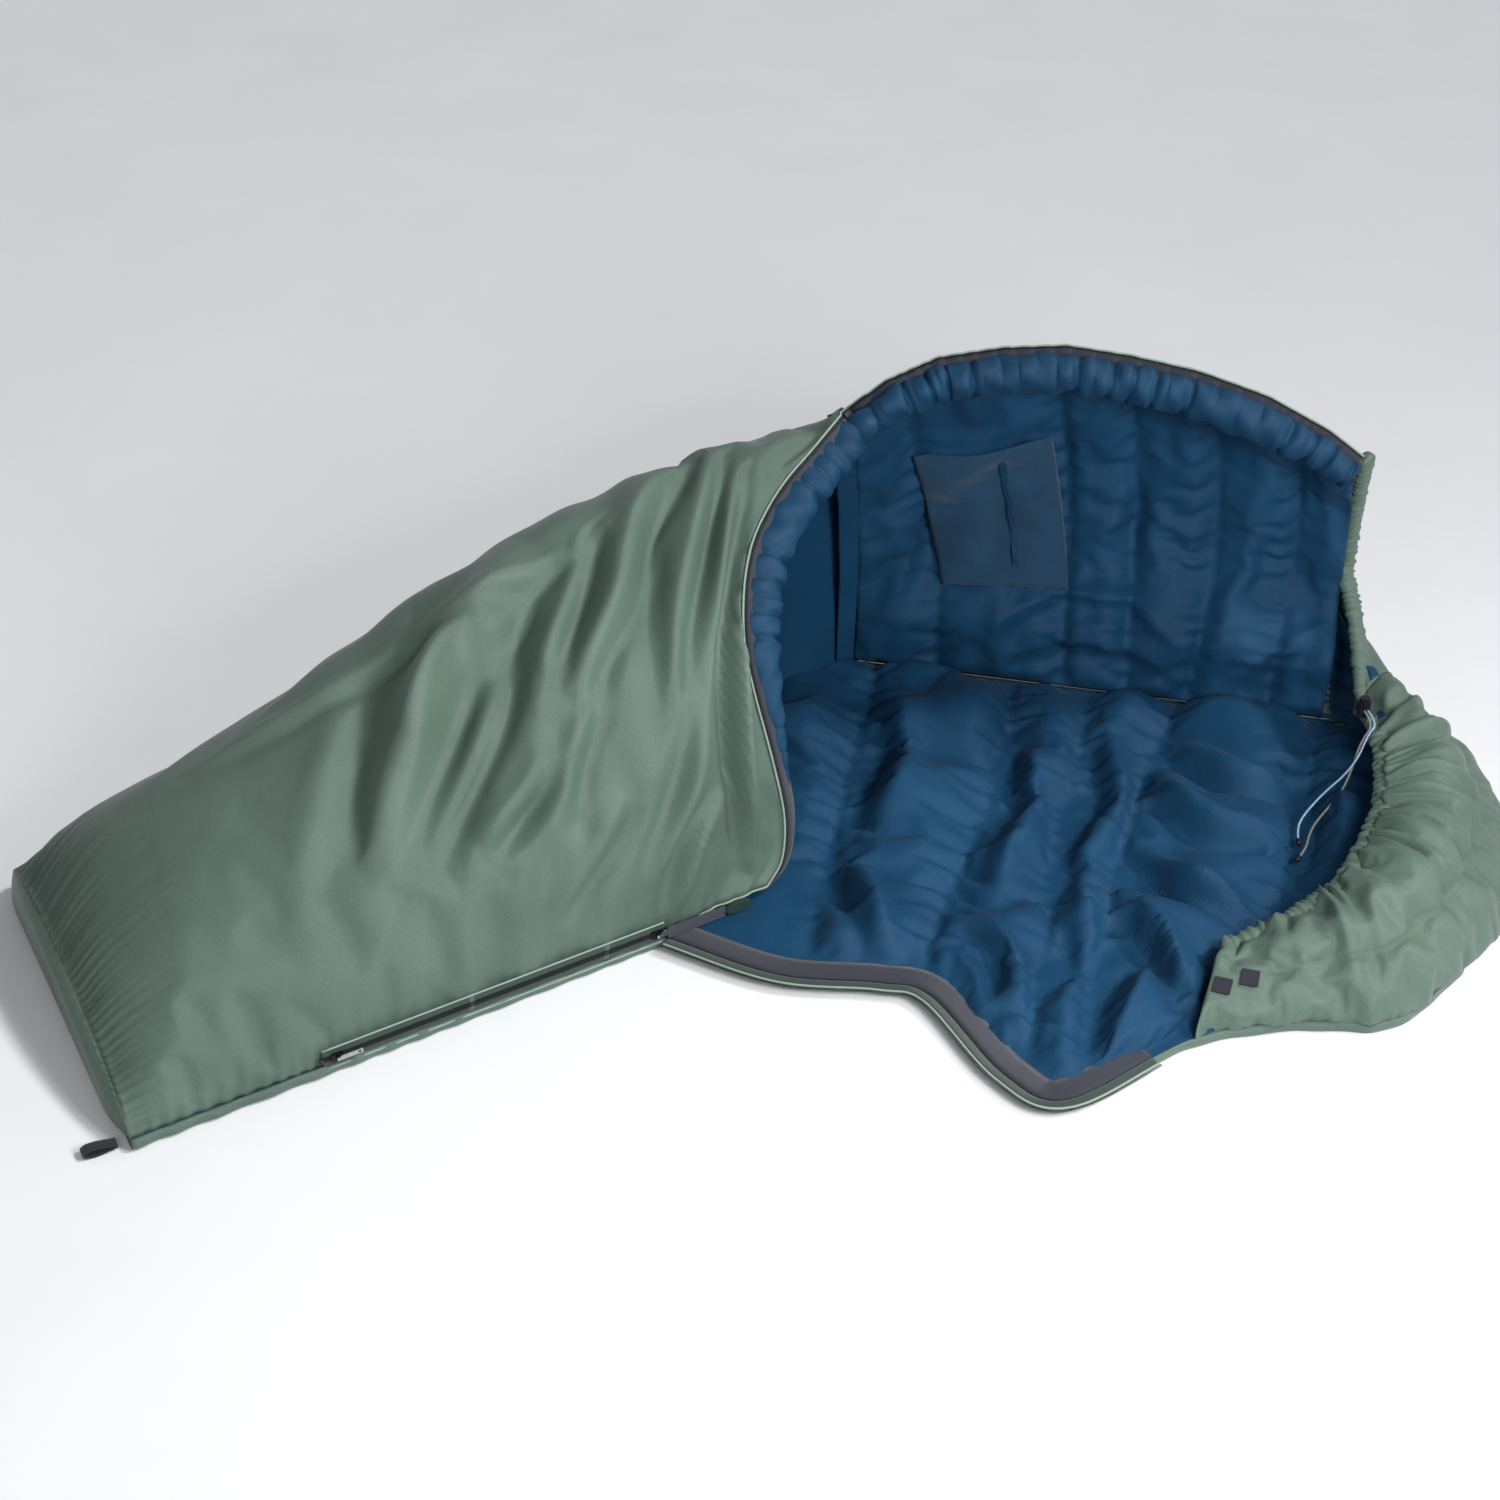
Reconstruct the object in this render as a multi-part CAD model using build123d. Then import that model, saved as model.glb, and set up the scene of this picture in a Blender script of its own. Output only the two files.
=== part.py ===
from build123d import *
import math
import os

# A mummy sleeping bag lying open on the floor, in millimetres.
# The origin is on the floor at the middle of the mouth, where the closed leg tube ends.
# +X runs along the fold of the raised top layer towards the hood, +Z is up, and the near side,
# where the zip is, faces -Y.  The leg tube turns away from the head section towards -X and -Y.

# ---------------------------------------------------------------- quilt plies
SHELL = 1.2                 # outer fabric
FILL = 12.0                 # insulation, pressed flat
LINING = 1.2                # inner fabric
PLY_GAP = 0.3               # clearance between two plies
PATCH = 1.0                 # a pocket, strip or tab sewn on
PATCH_GAP = 1.5             # what is sewn on a curved wall stays this far off it

FILL_AT = SHELL + PLY_GAP
LINING_AT = FILL_AT + FILL + PLY_GAP
QUILT = LINING_AT + LINING
TOP_AT = QUILT + PLY_GAP    # what stands on the bottom layer starts here

# ---------------------------------------------------------------- leg tube
LEG_LENGTH = 1130.0         # from the mouth to the foot, along the leg
LEG_HEADING = 40.4          # degrees from +X
FOOT_WIDTH = 592.0
MOUTH_NEAR_Y = -300.0
MOUTH_FAR_Y = 330.0
LEG_STATIONS = [            # share of the length from the foot, crest height, crest place across
    (0.0, 84.0, 0.62),
    (0.03, 130.0, 0.64),
    (0.1, 180.0, 0.67),
    (0.25, 258.0, 0.72),
    (0.4, 345.0, 0.75),
    (0.55, 432.0, 0.77),
    (0.7, 494.0, 0.78),
    (0.85, 522.0, 0.78),
    (1.0, 524.0, 0.78),
]
LEG_BATTS = [("foot", 0, 3), ("knee", 3, 5), ("thigh", 5, 8)]
LEG_ANGLES = [0, 12, 28, 48, 70, 90, 108, 128, 154, 180]
NEAR_SLOPE_FLATNESS = 1.3   # 1 is an ellipse, 2 is a straight slope

# ---------------------------------------------------------------- raised top layer
HINGE_Z = 1.5 * QUILT + 1.5
FLAP_BASE_Z = HINGE_Z + 2.0
FLAP_STATIONS = [           # distance along the fold, then the free edge's y and z
    (6.0, 196.0, 536.0),
    (60.0, 212.0, 580.0),
    (130.0, 238.0, 612.0),
    (220.0, 260.0, 627.0),
    (310.0, 277.0, 632.0),
    (400.0, 286.0, 622.0),
    (500.0, 290.0, 606.0),
    (600.0, 290.0, 578.0),
    (690.0, 290.0, 535.0),
    (745.0, 290.0, 497.0),
]
FLAP_BATTS = [("waist", 0, 3), ("chest", 3, 6), ("shoulder", 6, 9)]
FLAP_START_X = FLAP_STATIONS[0][0]
FLAP_BULGE = 105.0          # how far the raised layer leans out behind its fold
FLAP_BULGE_LENGTH = FLAP_STATIONS[3][0] - FLAP_START_X  # the bulge grows over this distance
FLAP_LOW_LEAN = 0.34        # shares of the rise and bulge that set the curve's two inner corners
FLAP_HIGH_LEAN = 0.78
FLAP_HIGH_BULGE = 0.75
FLAP_TOP_SWEEP = 90.0
FLAP_SAMPLES = 8

# ---------------------------------------------------------------- hood
HOOD_CENTRE_X = 690.0
HOOD_CENTRE_Y = -20.0
HOOD_STATIONS = [           # direction in degrees, rim radius, rim height, outline radius, crown rise
    (-100.0, 296.0, 52.0, 455.0, 8.0),
    (-82.0, 240.0, 80.0, 384.0, 14.0),
    (-62.0, 205.0, 105.0, 390.0, 22.0),
    (-38.0, 160.0, 122.0, 345.0, 28.0),
    (-12.0, 146.0, 130.0, 328.0, 30.0),
    (15.0, 150.0, 130.0, 333.0, 32.0),
    (42.0, 190.0, 130.0, 355.0, 34.0),
    (66.0, 262.0, 122.0, 375.0, 30.0),
]
HOOD_BATTS = [("near", 0, 2), ("crown", 2, 5), ("far", 5, 7)]
CASING_RADIUS = 9.0
DRAWCORD_RADIUS = 1.6
CASING_BORE_RADIUS = DRAWCORD_RADIUS + 1.0
HOOD_PROFILE = [            # shares of the width from the rim, of the crown rise and of the height
    (0.0, 0.0, 1.0),
    (0.22, 0.75, 1.0),
    (0.48, 0.9, 1.0),
    (0.74, 0.0, 0.86),
    (0.93, 0.0, 0.5),
    (1.0, 0.0, 0.0),
]

# ---------------------------------------------------------------- bottom layer of the head section
FLARE_START = 0.82          # share of the leg where the two layers part, at the main slider
NEAR_EDGE = [(50.0, -463.0), (190.0, -449.0), (262.0, -460.0), (380.0, -592.0), (470.0, -620.0)]
FOLD_END_X = 780.0

# ---------------------------------------------------------------- rolls, strips and pocket
ROLL_RADIUS = 26.0
STRIP_WIDTH = 32.0
FLAP_ROLL_SHARE = 0.92
POCKET_LEFT_X = 112.0
POCKET_RIGHT_X = 312.0
POCKET_LOW = 0.26
POCKET_HIGH = 0.66
POCKET_MOUTH_AT = 0.56      # share of the pocket's width where its mouth is
POCKET_FACING_WIDTH = 14.0
POCKET_HEM = 0.03           # share of the raised layer between the pocket's edge and its facing
MOUTH_ROLL_SHARE = 0.95     # station of the draft tube inside the mouth
MOUTH_ROLL_ANGLES = [24, 36, 50, 64, 78, 90]
MOUTH_STRIP_LOW = 0.975
MOUTH_STRIP_ANGLES = [10, 28, 48, 70, 90, 108]
NEAR_WALL_SPLAY = 5.0       # degrees from the leg's heading to its near wall's, with one to spare
EDGE_STRIP_STEPS = 24
FLAP_LENGTH_UP = 600.0      # from the fold to the free edge, round the curve
NECK_CASING_RADIUS = 8.0

# ---------------------------------------------------------------- zip
TAPE = 0.8
TAPE_WIDTH = 14.0
COIL_WIDTH = 3.2
COIL_DEPTH = 2.4
COIL_GAP = 1.2
TAPE_STANDOFF = 1.6         # from the bag's side to the inner face of the tapes
OPEN_TAPE_Z = QUILT - 6.0
OPEN_TAPE_FROM = 1.5        # from the raised layer's free edge to its tape
ZIP_START = 0.28            # share of the leg where the zip begins
LOWER_SLIDER_AT = 0.30
SLIDER_LENGTH = 16.0
SLIDER_PLATE = 1.2
SLIDER_CLEARANCE = 0.35
SLIDER_WEB = 0.5
BAIL_RADIUS = 1.0
BAIL_REACH = 3.4            # from the slider's face to the bail's middle
EYE_CLEARANCE = 0.4
PULLER_THICKNESS = 2.0
LOWER_PULLER_LENGTH = 34.0
STRAP_LENGTH = 92.0
STRAP_WIDTH = 18.0
STRAP_THICKNESS = 1.6
STRAP_CLEARANCE = 3.7       # from the bottom layer up to the main puller's strap
CHAIN_Z = TOP_AT + STRAP_WIDTH / 2 + STRAP_CLEARANCE
GRIP_LENGTH = 42.0
GRIP_WIDTH = STRAP_WIDTH - 1.0
GRIP_THICKNESS = 5.0
LINK_LENGTH = 14.0
PULLER_WIDTH = 7.0
PULLER_HOLE_RADIUS = 2.0
PULLER_HOLE_INSET = 5.0
EYE_WALL = 1.2
EYE_NECK = 5.0
SLIDER_SINK = 0.4           # the slider's pieces run this far into each other
SLIDER_WEB_INSET = 4.0
STOP_LENGTH = 5.0
BAIL_HALF = 4.5             # half the bail's width, over its posts
BAIL_POST = 1.6
TAB_SQUARE = 24.0           # hook-and-loop squares at the neck
TAB_THICKNESS = 1.6
TAB_STANDOFF = 6.0
TAB_DIRECTIONS = (-97.0, -92.0)
TAB_RADIAL = 0.60

# ---------------------------------------------------------------- cord lock
LOCK_RADIUS = 9.5
LOCK_LENGTH = 24.0
LOCK_WALL = 2.0
PLUNGER_CLEARANCE = 0.3
PLUNGER_TRAVEL = 4.0
PLUNGER_PROUD = 6.0
PLUNGER_LOW = -5.0          # the plunger's lower end, from the lock's middle
CORD_RADIUS = 1.6
CORD_HOLE_RADIUS = CORD_RADIUS + 0.5
CORD_SPACING = 2 * CORD_RADIUS + 2.0
SLOT_CLEARANCE = 0.5
SPRING_CLEARANCE = 0.2
SPRING_WALL = 1.0
LOCK_PLACE = (797.0, 184.0, 141.0)
LOCK_CORD_HEADING = -60.0   # degrees from +X of the cords where they pass the lock
CORD_START = -12.0          # along the cords from the lock's middle
CORD_TURN = 40.0
TANGENT_SHARE = 0.45
BEAD_RADIUS = 4.5
BEAD_LENGTH = 11.0
BEAD_EDGE = 2.0
ANCHOR_TAB = (3.0, 14.0, 17.0)
ANCHOR_TAB_DROP = 2.5

# ---------------------------------------------------------------- foot loop
LOOP_WIDTH = 15.0
LOOP_THICKNESS = 1.6
LOOP_DROP = 44.0
LOOP_GAP = 9.0
LOOP_INSET = 6.0
LOOP_ABOVE_FLOOR = 1.0


def heading(degrees):
    return Vector(math.cos(math.radians(degrees)), math.sin(math.radians(degrees)), 0)


UP = Vector(0, 0, 1)
LEG_AXIS = heading(LEG_HEADING)
LEG_ACROSS = heading(LEG_HEADING + 90)
FOOT_CENTRE = LEG_AXIS * -LEG_LENGTH
FOOT_NEAR = FOOT_CENTRE - LEG_ACROSS * (FOOT_WIDTH / 2)
FOOT_FAR = FOOT_CENTRE + LEG_ACROSS * (FOOT_WIDTH / 2)
MOUTH_NEAR = Vector(0, MOUTH_NEAR_Y, 0)
MOUTH_FAR = Vector(0, MOUTH_FAR_Y, 0)
HOOD_CENTRE = Vector(HOOD_CENTRE_X, HOOD_CENTRE_Y, 0)
HINGE_Y = MOUTH_FAR_Y - QUILT / 2

parts = {}


# ---------------------------------------------------------------- quilted walls
def unit_normals(points):
    """Unit normals of an open plane curve through (across, up) points, to the right of its run."""
    normals = []
    last = len(points) - 1
    for i in range(len(points)):
        a = points[max(i - 1, 0)]
        b = points[min(i + 1, last)]
        run = (b[0] - a[0], b[1] - a[1])
        length = math.hypot(*run)
        normals.append((run[1] / length, -run[0] / length))
    return normals


def offset_wire(points, normals, near, far, place):
    """A closed wire round the band between two offsets of an open curve."""
    outer = [place(p[0] + n[0] * near, p[1] + n[1] * near) for p, n in zip(points, normals)]
    inner = [place(p[0] + n[0] * far, p[1] + n[1] * far) for p, n in zip(points, normals)]
    inner.reverse()
    return Wire([
        Edge.make_spline(outer),
        Edge.make_line(outer[-1], inner[0]),
        Edge.make_spline(inner),
        Edge.make_line(inner[-1], outer[0]),
    ])


def band(sections, near, far):
    """A wall lofted through sections, each a (points, normals, place) of the outer skin."""
    return Solid.make_loft([offset_wire(p, n, near, far, place) for p, n, place in sections], True)


def quilt(name, sections, batts):
    """One quilted wall: its shell, its lining and the batts of fill between its cross seams.

    Each batt is (name, first section, last section).
    """
    parts[name + "_shell"] = band(sections, 0, SHELL)
    for batt, first, last in batts:
        parts[name + "_fill_" + batt] = band(sections[first:last + 1], FILL_AT, FILL_AT + FILL)
    parts[name + "_lining"] = band(sections, LINING_AT, QUILT)


def tube(centres, radius, places):
    """A round roll, span by span between circles in the section planes."""
    wires = []
    for (across, up), (place, plane_normal) in zip(centres, places):
        wires.append(Wire.make_circle(radius, Plane(place(across, up), x_dir=UP, z_dir=plane_normal)))
    spans = [Solid.make_loft(list(pair), True) for pair in zip(wires, wires[1:])]
    return spans[0].fuse(*spans[1:])


# ---------------------------------------------------------------- leg tube
def leg_near(share):
    return FOOT_NEAR + (MOUTH_NEAR - FOOT_NEAR) * share


def leg_far(share):
    return FOOT_FAR + (MOUTH_FAR - FOOT_FAR) * share


def leg_value(share, column):
    """A value of the leg's stations, in line between two of them."""
    for low, high in zip(LEG_STATIONS, LEG_STATIONS[1:]):
        if share <= high[0]:
            mix = (share - low[0]) / (high[0] - low[0])
            return low[column] + (high[column] - low[column]) * mix
    return LEG_STATIONS[-1][column]


def leg_curve(share, angles):
    """The outer skin over the leg at one station, from its near edge to its far edge."""
    width = (leg_far(share) - leg_near(share)).length
    height = leg_value(share, 1)
    crest = leg_value(share, 2)
    points = []
    for degrees in angles:
        c = math.cos(math.radians(degrees))
        s = math.sin(math.radians(degrees))
        if degrees < 90:
            across = crest * (1 - c ** NEAR_SLOPE_FLATNESS)
        else:
            across = crest - (1 - crest) * c
        points.append((across * width, TOP_AT + s * height))
    return points


def leg_section(share, angles=LEG_ANGLES):
    points = leg_curve(share, angles)
    normals = unit_normals(points)
    if angles[0] == 0:
        normals[0] = (1, 0)
    if angles[-1] == 180:
        normals[-1] = (-1, 0)
    start = leg_near(share)
    across = (leg_far(share) - start).normalized()
    return points, normals, lambda a, z: start + across * a + UP * z


leg_sections = [leg_section(station[0]) for station in LEG_STATIONS]
quilt("leg_top", leg_sections, LEG_BATTS)


# ---------------------------------------------------------------- raised top layer, the flap
def flap_value(x, column):
    for low, high in zip(FLAP_STATIONS, FLAP_STATIONS[1:]):
        if x <= high[0]:
            mix = (x - low[0]) / (high[0] - low[0])
            return low[column] + (high[column] - low[column]) * mix
    return FLAP_STATIONS[-1][column]


def flap_curve(x, shares):
    """The outer skin of the raised layer at one station, from its fold to its free edge."""
    edge_y = flap_value(x, 1)
    edge_z = flap_value(x, 2)
    rise = edge_z - FLAP_BASE_Z
    bulge = FLAP_BULGE * min(1.0, (x - FLAP_START_X) / FLAP_BULGE_LENGTH)
    corners = [
        (MOUTH_FAR_Y, FLAP_BASE_Z),
        (MOUTH_FAR_Y + bulge, FLAP_BASE_Z + FLAP_LOW_LEAN * rise),
        (edge_y + FLAP_HIGH_BULGE * bulge + FLAP_TOP_SWEEP, FLAP_BASE_Z + FLAP_HIGH_LEAN * rise),
        (edge_y, edge_z),
    ]
    points = []
    for s in shares:
        weights = [(1 - s) ** 3, 3 * s * (1 - s) ** 2, 3 * s * s * (1 - s), s ** 3]
        points.append(tuple(sum(w * c[k] for w, c in zip(weights, corners)) for k in (0, 1)))
    return points


def flap_section(x, low=0.0, high=1.0):
    shares = [low + (high - low) * i / (FLAP_SAMPLES - 1) for i in range(FLAP_SAMPLES)]
    points = flap_curve(x, shares)
    normals = [(-n[0], -n[1]) for n in unit_normals(points)]
    if low == 0:
        normals[0] = (-1, 0)
    return points, normals, lambda y, z: Vector(x, y, z)


flap_xs = [station[0] for station in FLAP_STATIONS]
quilt("flap", [flap_section(x) for x in flap_xs], FLAP_BATTS)


# ---------------------------------------------------------------- hood
def hood_direction(station):
    return heading(station[0])


def hood_outline(station):
    return HOOD_CENTRE + hood_direction(station) * station[3]


def hood_section(station):
    """The outer skin of the hood in one upright plane, from the rim out and down to the floor."""
    _, rim, rim_z, outline, rise = station
    width = outline - rim
    height = rim_z - TOP_AT
    points = [(rim + w * width, TOP_AT + h * height + r * rise) for w, r, h in HOOD_PROFILE]
    normals = unit_normals(points)
    normals[-1] = (-1, 0)
    direction = hood_direction(station)
    return points, normals, lambda r, z: HOOD_CENTRE + direction * r + UP * z


quilt("hood", [hood_section(station) for station in HOOD_STATIONS], HOOD_BATTS)


def hood_ring(radius):
    """A round tube that follows the hood's rim."""
    centres = [(s[1] - CASING_RADIUS - PLY_GAP * 2, s[2] - QUILT / 2) for s in HOOD_STATIONS]
    places = []
    for station in HOOD_STATIONS:
        direction = hood_direction(station)
        places.append((lambda r, z, d=direction: HOOD_CENTRE + d * r + UP * z, heading(station[0] + 90)))
    return tube(centres, radius, places)


parts["hood_casing"] = hood_ring(CASING_RADIUS) - hood_ring(CASING_BORE_RADIUS)
parts["hood_drawcord"] = hood_ring(DRAWCORD_RADIUS)


# ---------------------------------------------------------------- bottom layer
def flat(face, low, high):
    """A flat ply between two heights."""
    return extrude(Pos(0, 0, low) * face, high - low, dir=(0, 0, 1))


END_ALLOWANCE = QUILT + PLY_GAP
foot_shift = LEG_AXIS * -END_ALLOWANCE
flare_start = leg_near(FLARE_START)
near_edge = [flare_start] + [Vector(x, y, 0) for x, y in NEAR_EDGE] + [hood_outline(HOOD_STATIONS[0])]
hood_edge = [hood_outline(station) for station in HOOD_STATIONS]
fold_end = Vector(FOLD_END_X, MOUTH_FAR_Y, 0)
bottom_outline = Wire([
    Edge.make_line(FOOT_NEAR + foot_shift, FOOT_NEAR),
    Edge.make_line(FOOT_NEAR, flare_start),
    Edge.make_spline(near_edge),
    Edge.make_spline(hood_edge),
    Edge.make_line(hood_edge[-1], fold_end),
    Edge.make_line(fold_end, MOUTH_FAR),
    Edge.make_line(MOUTH_FAR, FOOT_FAR),
    Edge.make_line(FOOT_FAR, FOOT_FAR + foot_shift),
    Edge.make_line(FOOT_FAR + foot_shift, FOOT_NEAR + foot_shift),
])
bottom_face = Face(bottom_outline)
parts["bottom_shell"] = flat(bottom_face, 0, SHELL)
parts["bottom_fill"] = flat(bottom_face, FILL_AT, FILL_AT + FILL)
parts["bottom_lining"] = flat(bottom_face, LINING_AT, QUILT)


# ---------------------------------------------------------------- foot panel
def foot_ply(near, far):
    """The foot panel's ply between two distances beyond the end of the leg."""
    points, _, place = leg_section(0.0)
    rim = [place(a, z) for a, z in points]
    wire = Wire([Edge.make_spline(rim), Edge.make_line(rim[-1], rim[0])])
    face = Face(wire).moved(Location(LEG_AXIS * -near))
    return Solid.extrude(face, LEG_AXIS * -(far - near))


parts["foot_panel_lining"] = foot_ply(PLY_GAP, PLY_GAP + LINING)
parts["foot_panel_fill"] = foot_ply(2 * PLY_GAP + LINING, 2 * PLY_GAP + LINING + FILL)
parts["foot_panel_shell"] = foot_ply(END_ALLOWANCE - SHELL, END_ALLOWANCE)


# ---------------------------------------------------------------- rolls and strips round the opening
def roll(points, normals, place, radius, depth):
    """A round roll lofted through circles square to a curve offset inwards from a skin."""
    centres = [place(p[0] + n[0] * depth, p[1] + n[1] * depth) for p, n in zip(points, normals)]
    path = Edge.make_spline(centres)
    wires = []
    for i in range(len(centres)):
        share = i / (len(centres) - 1)
        plane = Plane(path @ share, x_dir=(1, 0, 0), z_dir=path % share)
        wires.append(Wire.make_circle(radius, plane))
    return Solid.make_loft(wires, True)


skew = math.cos(math.radians(LEG_HEADING + NEAR_WALL_SPLAY))
mouth_points, mouth_normals, mouth_place = leg_section(MOUTH_ROLL_SHARE, MOUTH_ROLL_ANGLES)
mouth_roll_depth = QUILT + ROLL_RADIUS / skew + PATCH + 2 * PATCH_GAP
parts["mouth_draft_tube"] = roll(mouth_points, mouth_normals, mouth_place, ROLL_RADIUS, mouth_roll_depth)

strip_sections = [leg_section(share, MOUTH_STRIP_ANGLES) for share in (MOUTH_STRIP_LOW, 1.0)]
parts["mouth_anti_snag_strip"] = band(strip_sections, QUILT + PATCH_GAP, QUILT + PATCH_GAP + PATCH)

flap_strip = [flap_section(x, 1 - STRIP_WIDTH / FLAP_LENGTH_UP, 1.0) for x in flap_xs]
parts["flap_anti_snag_strip"] = band(flap_strip, QUILT + PATCH_GAP, QUILT + PATCH_GAP + PATCH)
roll_depth = QUILT + 2 * PATCH_GAP + PATCH + ROLL_RADIUS
flap_roll_centres = []
flap_roll_places = []
for x in flap_xs:
    points, normals, place = flap_section(x, FLAP_ROLL_SHARE - 0.02, FLAP_ROLL_SHARE + 0.02)
    middle = FLAP_SAMPLES // 2
    p, n = points[middle], normals[middle]
    flap_roll_centres.append((p[0] + n[0] * roll_depth, p[1] + n[1] * roll_depth))
    flap_roll_places.append((place, Vector(1, 0, 0)))
parts["flap_draft_tube"] = tube(flap_roll_centres, ROLL_RADIUS, flap_roll_places)

pocket_xs = [x for x in flap_xs if POCKET_LEFT_X < x < POCKET_RIGHT_X]
pocket_xs = [POCKET_LEFT_X] + pocket_xs + [POCKET_RIGHT_X]
pocket_sections = [flap_section(x, POCKET_LOW, POCKET_HIGH) for x in pocket_xs]
pocket_at = QUILT + PATCH_GAP
parts["pocket_panel"] = band(pocket_sections, pocket_at, pocket_at + PATCH)
facing_x = POCKET_LEFT_X + POCKET_MOUTH_AT * (POCKET_RIGHT_X - POCKET_LEFT_X)
facing_xs = (facing_x, facing_x + POCKET_FACING_WIDTH)
facing_sections = [flap_section(x, POCKET_LOW + POCKET_HEM, POCKET_HIGH - POCKET_HEM) for x in facing_xs]
facing_at = pocket_at + PATCH + PATCH_GAP / 2
parts["pocket_mouth_facing"] = band(facing_sections, facing_at, facing_at + PATCH)

neck_x = FLAP_STATIONS[-1][0] + NECK_CASING_RADIUS + PLY_GAP
neck_points, neck_normals, _ = flap_section(FLAP_STATIONS[-1][0], 0.03, 0.97)
parts["neck_casing"] = roll(
    neck_points, neck_normals, lambda y, z: Vector(neck_x, y, z), NECK_CASING_RADIUS, QUILT / 2)

near_curve = Edge.make_spline(near_edge)


def edge_strip(low, high, z, thickness):
    """A flat strip beside the bottom layer's free edge, between two distances in from it."""
    rails = ([], [])
    for i in range(1, EDGE_STRIP_STEPS):
        share = i / EDGE_STRIP_STEPS
        run = near_curve % share
        inwards = Vector(-run.Y, run.X, 0)
        for rail, distance in zip(rails, (low, high)):
            rail.append(near_curve @ share + inwards * distance)
    inner = rails[1][::-1]
    wire = Wire([
        Edge.make_spline(rails[0]),
        Edge.make_line(rails[0][-1], inner[0]),
        Edge.make_spline(inner),
        Edge.make_line(inner[-1], rails[0][0]),
    ])
    return flat(Face(wire), z, z + thickness)


parts["bottom_anti_snag_strip"] = edge_strip(2, 2 + STRIP_WIDTH, TOP_AT, PATCH)
open_coil_z = OPEN_TAPE_Z - (COIL_DEPTH - TAPE) / 2
parts["open_zip_tape_bottom"] = edge_strip(-PLY_GAP - TAPE_WIDTH, -PLY_GAP, OPEN_TAPE_Z, TAPE)
coil_out = -2 * PLY_GAP - TAPE_WIDTH
parts["open_zip_coil_bottom"] = edge_strip(coil_out - COIL_WIDTH, coil_out, open_coil_z, COIL_DEPTH)

open_tape_to = OPEN_TAPE_FROM + TAPE_WIDTH


def flap_edge_strip(low, high, at, thickness):
    """A strip that runs on past the raised layer's free edge, between two distances out from it."""
    wires = []
    for x in flap_xs:
        points, normals, place = flap_section(x, 0.98, 1.0)
        edge, normal = points[-1], normals[-1]
        run = (-normal[1], normal[0])
        corners = []
        for out, depth in ((low, at), (high, at), (high, at + thickness), (low, at + thickness)):
            corners.append(place(
                edge[0] - run[0] * out + normal[0] * depth, edge[1] - run[1] * out + normal[1] * depth))
        wires.append(Wire.make_polygon(corners, close=True))
    return Solid.make_loft(wires, True)


flap_tape_at = QUILT / 2
flap_coil_at = flap_tape_at - (COIL_DEPTH - TAPE) / 2
parts["open_zip_tape_flap"] = flap_edge_strip(OPEN_TAPE_FROM, open_tape_to, flap_tape_at, TAPE)
parts["open_zip_coil_flap"] = flap_edge_strip(
    open_tape_to + PLY_GAP, open_tape_to + PLY_GAP + COIL_WIDTH, flap_coil_at, COIL_DEPTH)

# ---------------------------------------------------------------- closed zip along the leg
ZIP_RUN = (MOUTH_NEAR - FOOT_NEAR).normalized()
ZIP_OUT = Vector(ZIP_RUN.Y, -ZIP_RUN.X, 0)
ZIP_LENGTH = (MOUTH_NEAR - FOOT_NEAR).length * (FLARE_START - ZIP_START)
CHAIN_PLACE = leg_near(ZIP_START) + UP * CHAIN_Z
# local X runs along the zip, local Y points out from the bag's side, local Z is up
zip_frame = Plane(CHAIN_PLACE, x_dir=ZIP_RUN, z_dir=UP)


def zip_box(along, out, up):
    """A box between pairs of distances along the zip, out from the side and up from the chain."""
    size = [pair[1] - pair[0] for pair in (along, out, up)]
    middle = [(pair[0] + pair[1]) / 2 for pair in (along, out, up)]
    return zip_frame * Pos(middle[0], -middle[1], middle[2]) * Box(*size)


coil_at = TAPE_STANDOFF + TAPE + 0.1
coil_low = COIL_GAP / 2
coil_high = coil_low + COIL_WIDTH
whole_zip = (0, ZIP_LENGTH)
tape_out = (TAPE_STANDOFF, TAPE_STANDOFF + TAPE)
coil_outwards = (coil_at, coil_at + COIL_DEPTH)
parts["zip_tape_top"] = zip_box(whole_zip, tape_out, (coil_low, coil_low + TAPE_WIDTH))
parts["zip_tape_bottom"] = zip_box(whole_zip, tape_out, (-coil_low - TAPE_WIDTH, -coil_low))
parts["zip_coil_top"] = zip_box(whole_zip, coil_outwards, (coil_low, coil_high))
parts["zip_coil_bottom"] = zip_box(whole_zip, coil_outwards, (-coil_high, -coil_low))
parts["zip_end_stop"] = zip_box(
    (-PLY_GAP - STOP_LENGTH, -PLY_GAP), (TAPE_STANDOFF, coil_at + COIL_DEPTH + 1), (-coil_high, coil_high))

plate_at = coil_at + COIL_DEPTH + SLIDER_CLEARANCE
bail_out = plate_at + SLIDER_PLATE + BAIL_REACH
slider_half = coil_high + SLIDER_CLEARANCE + SLIDER_PLATE


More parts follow.
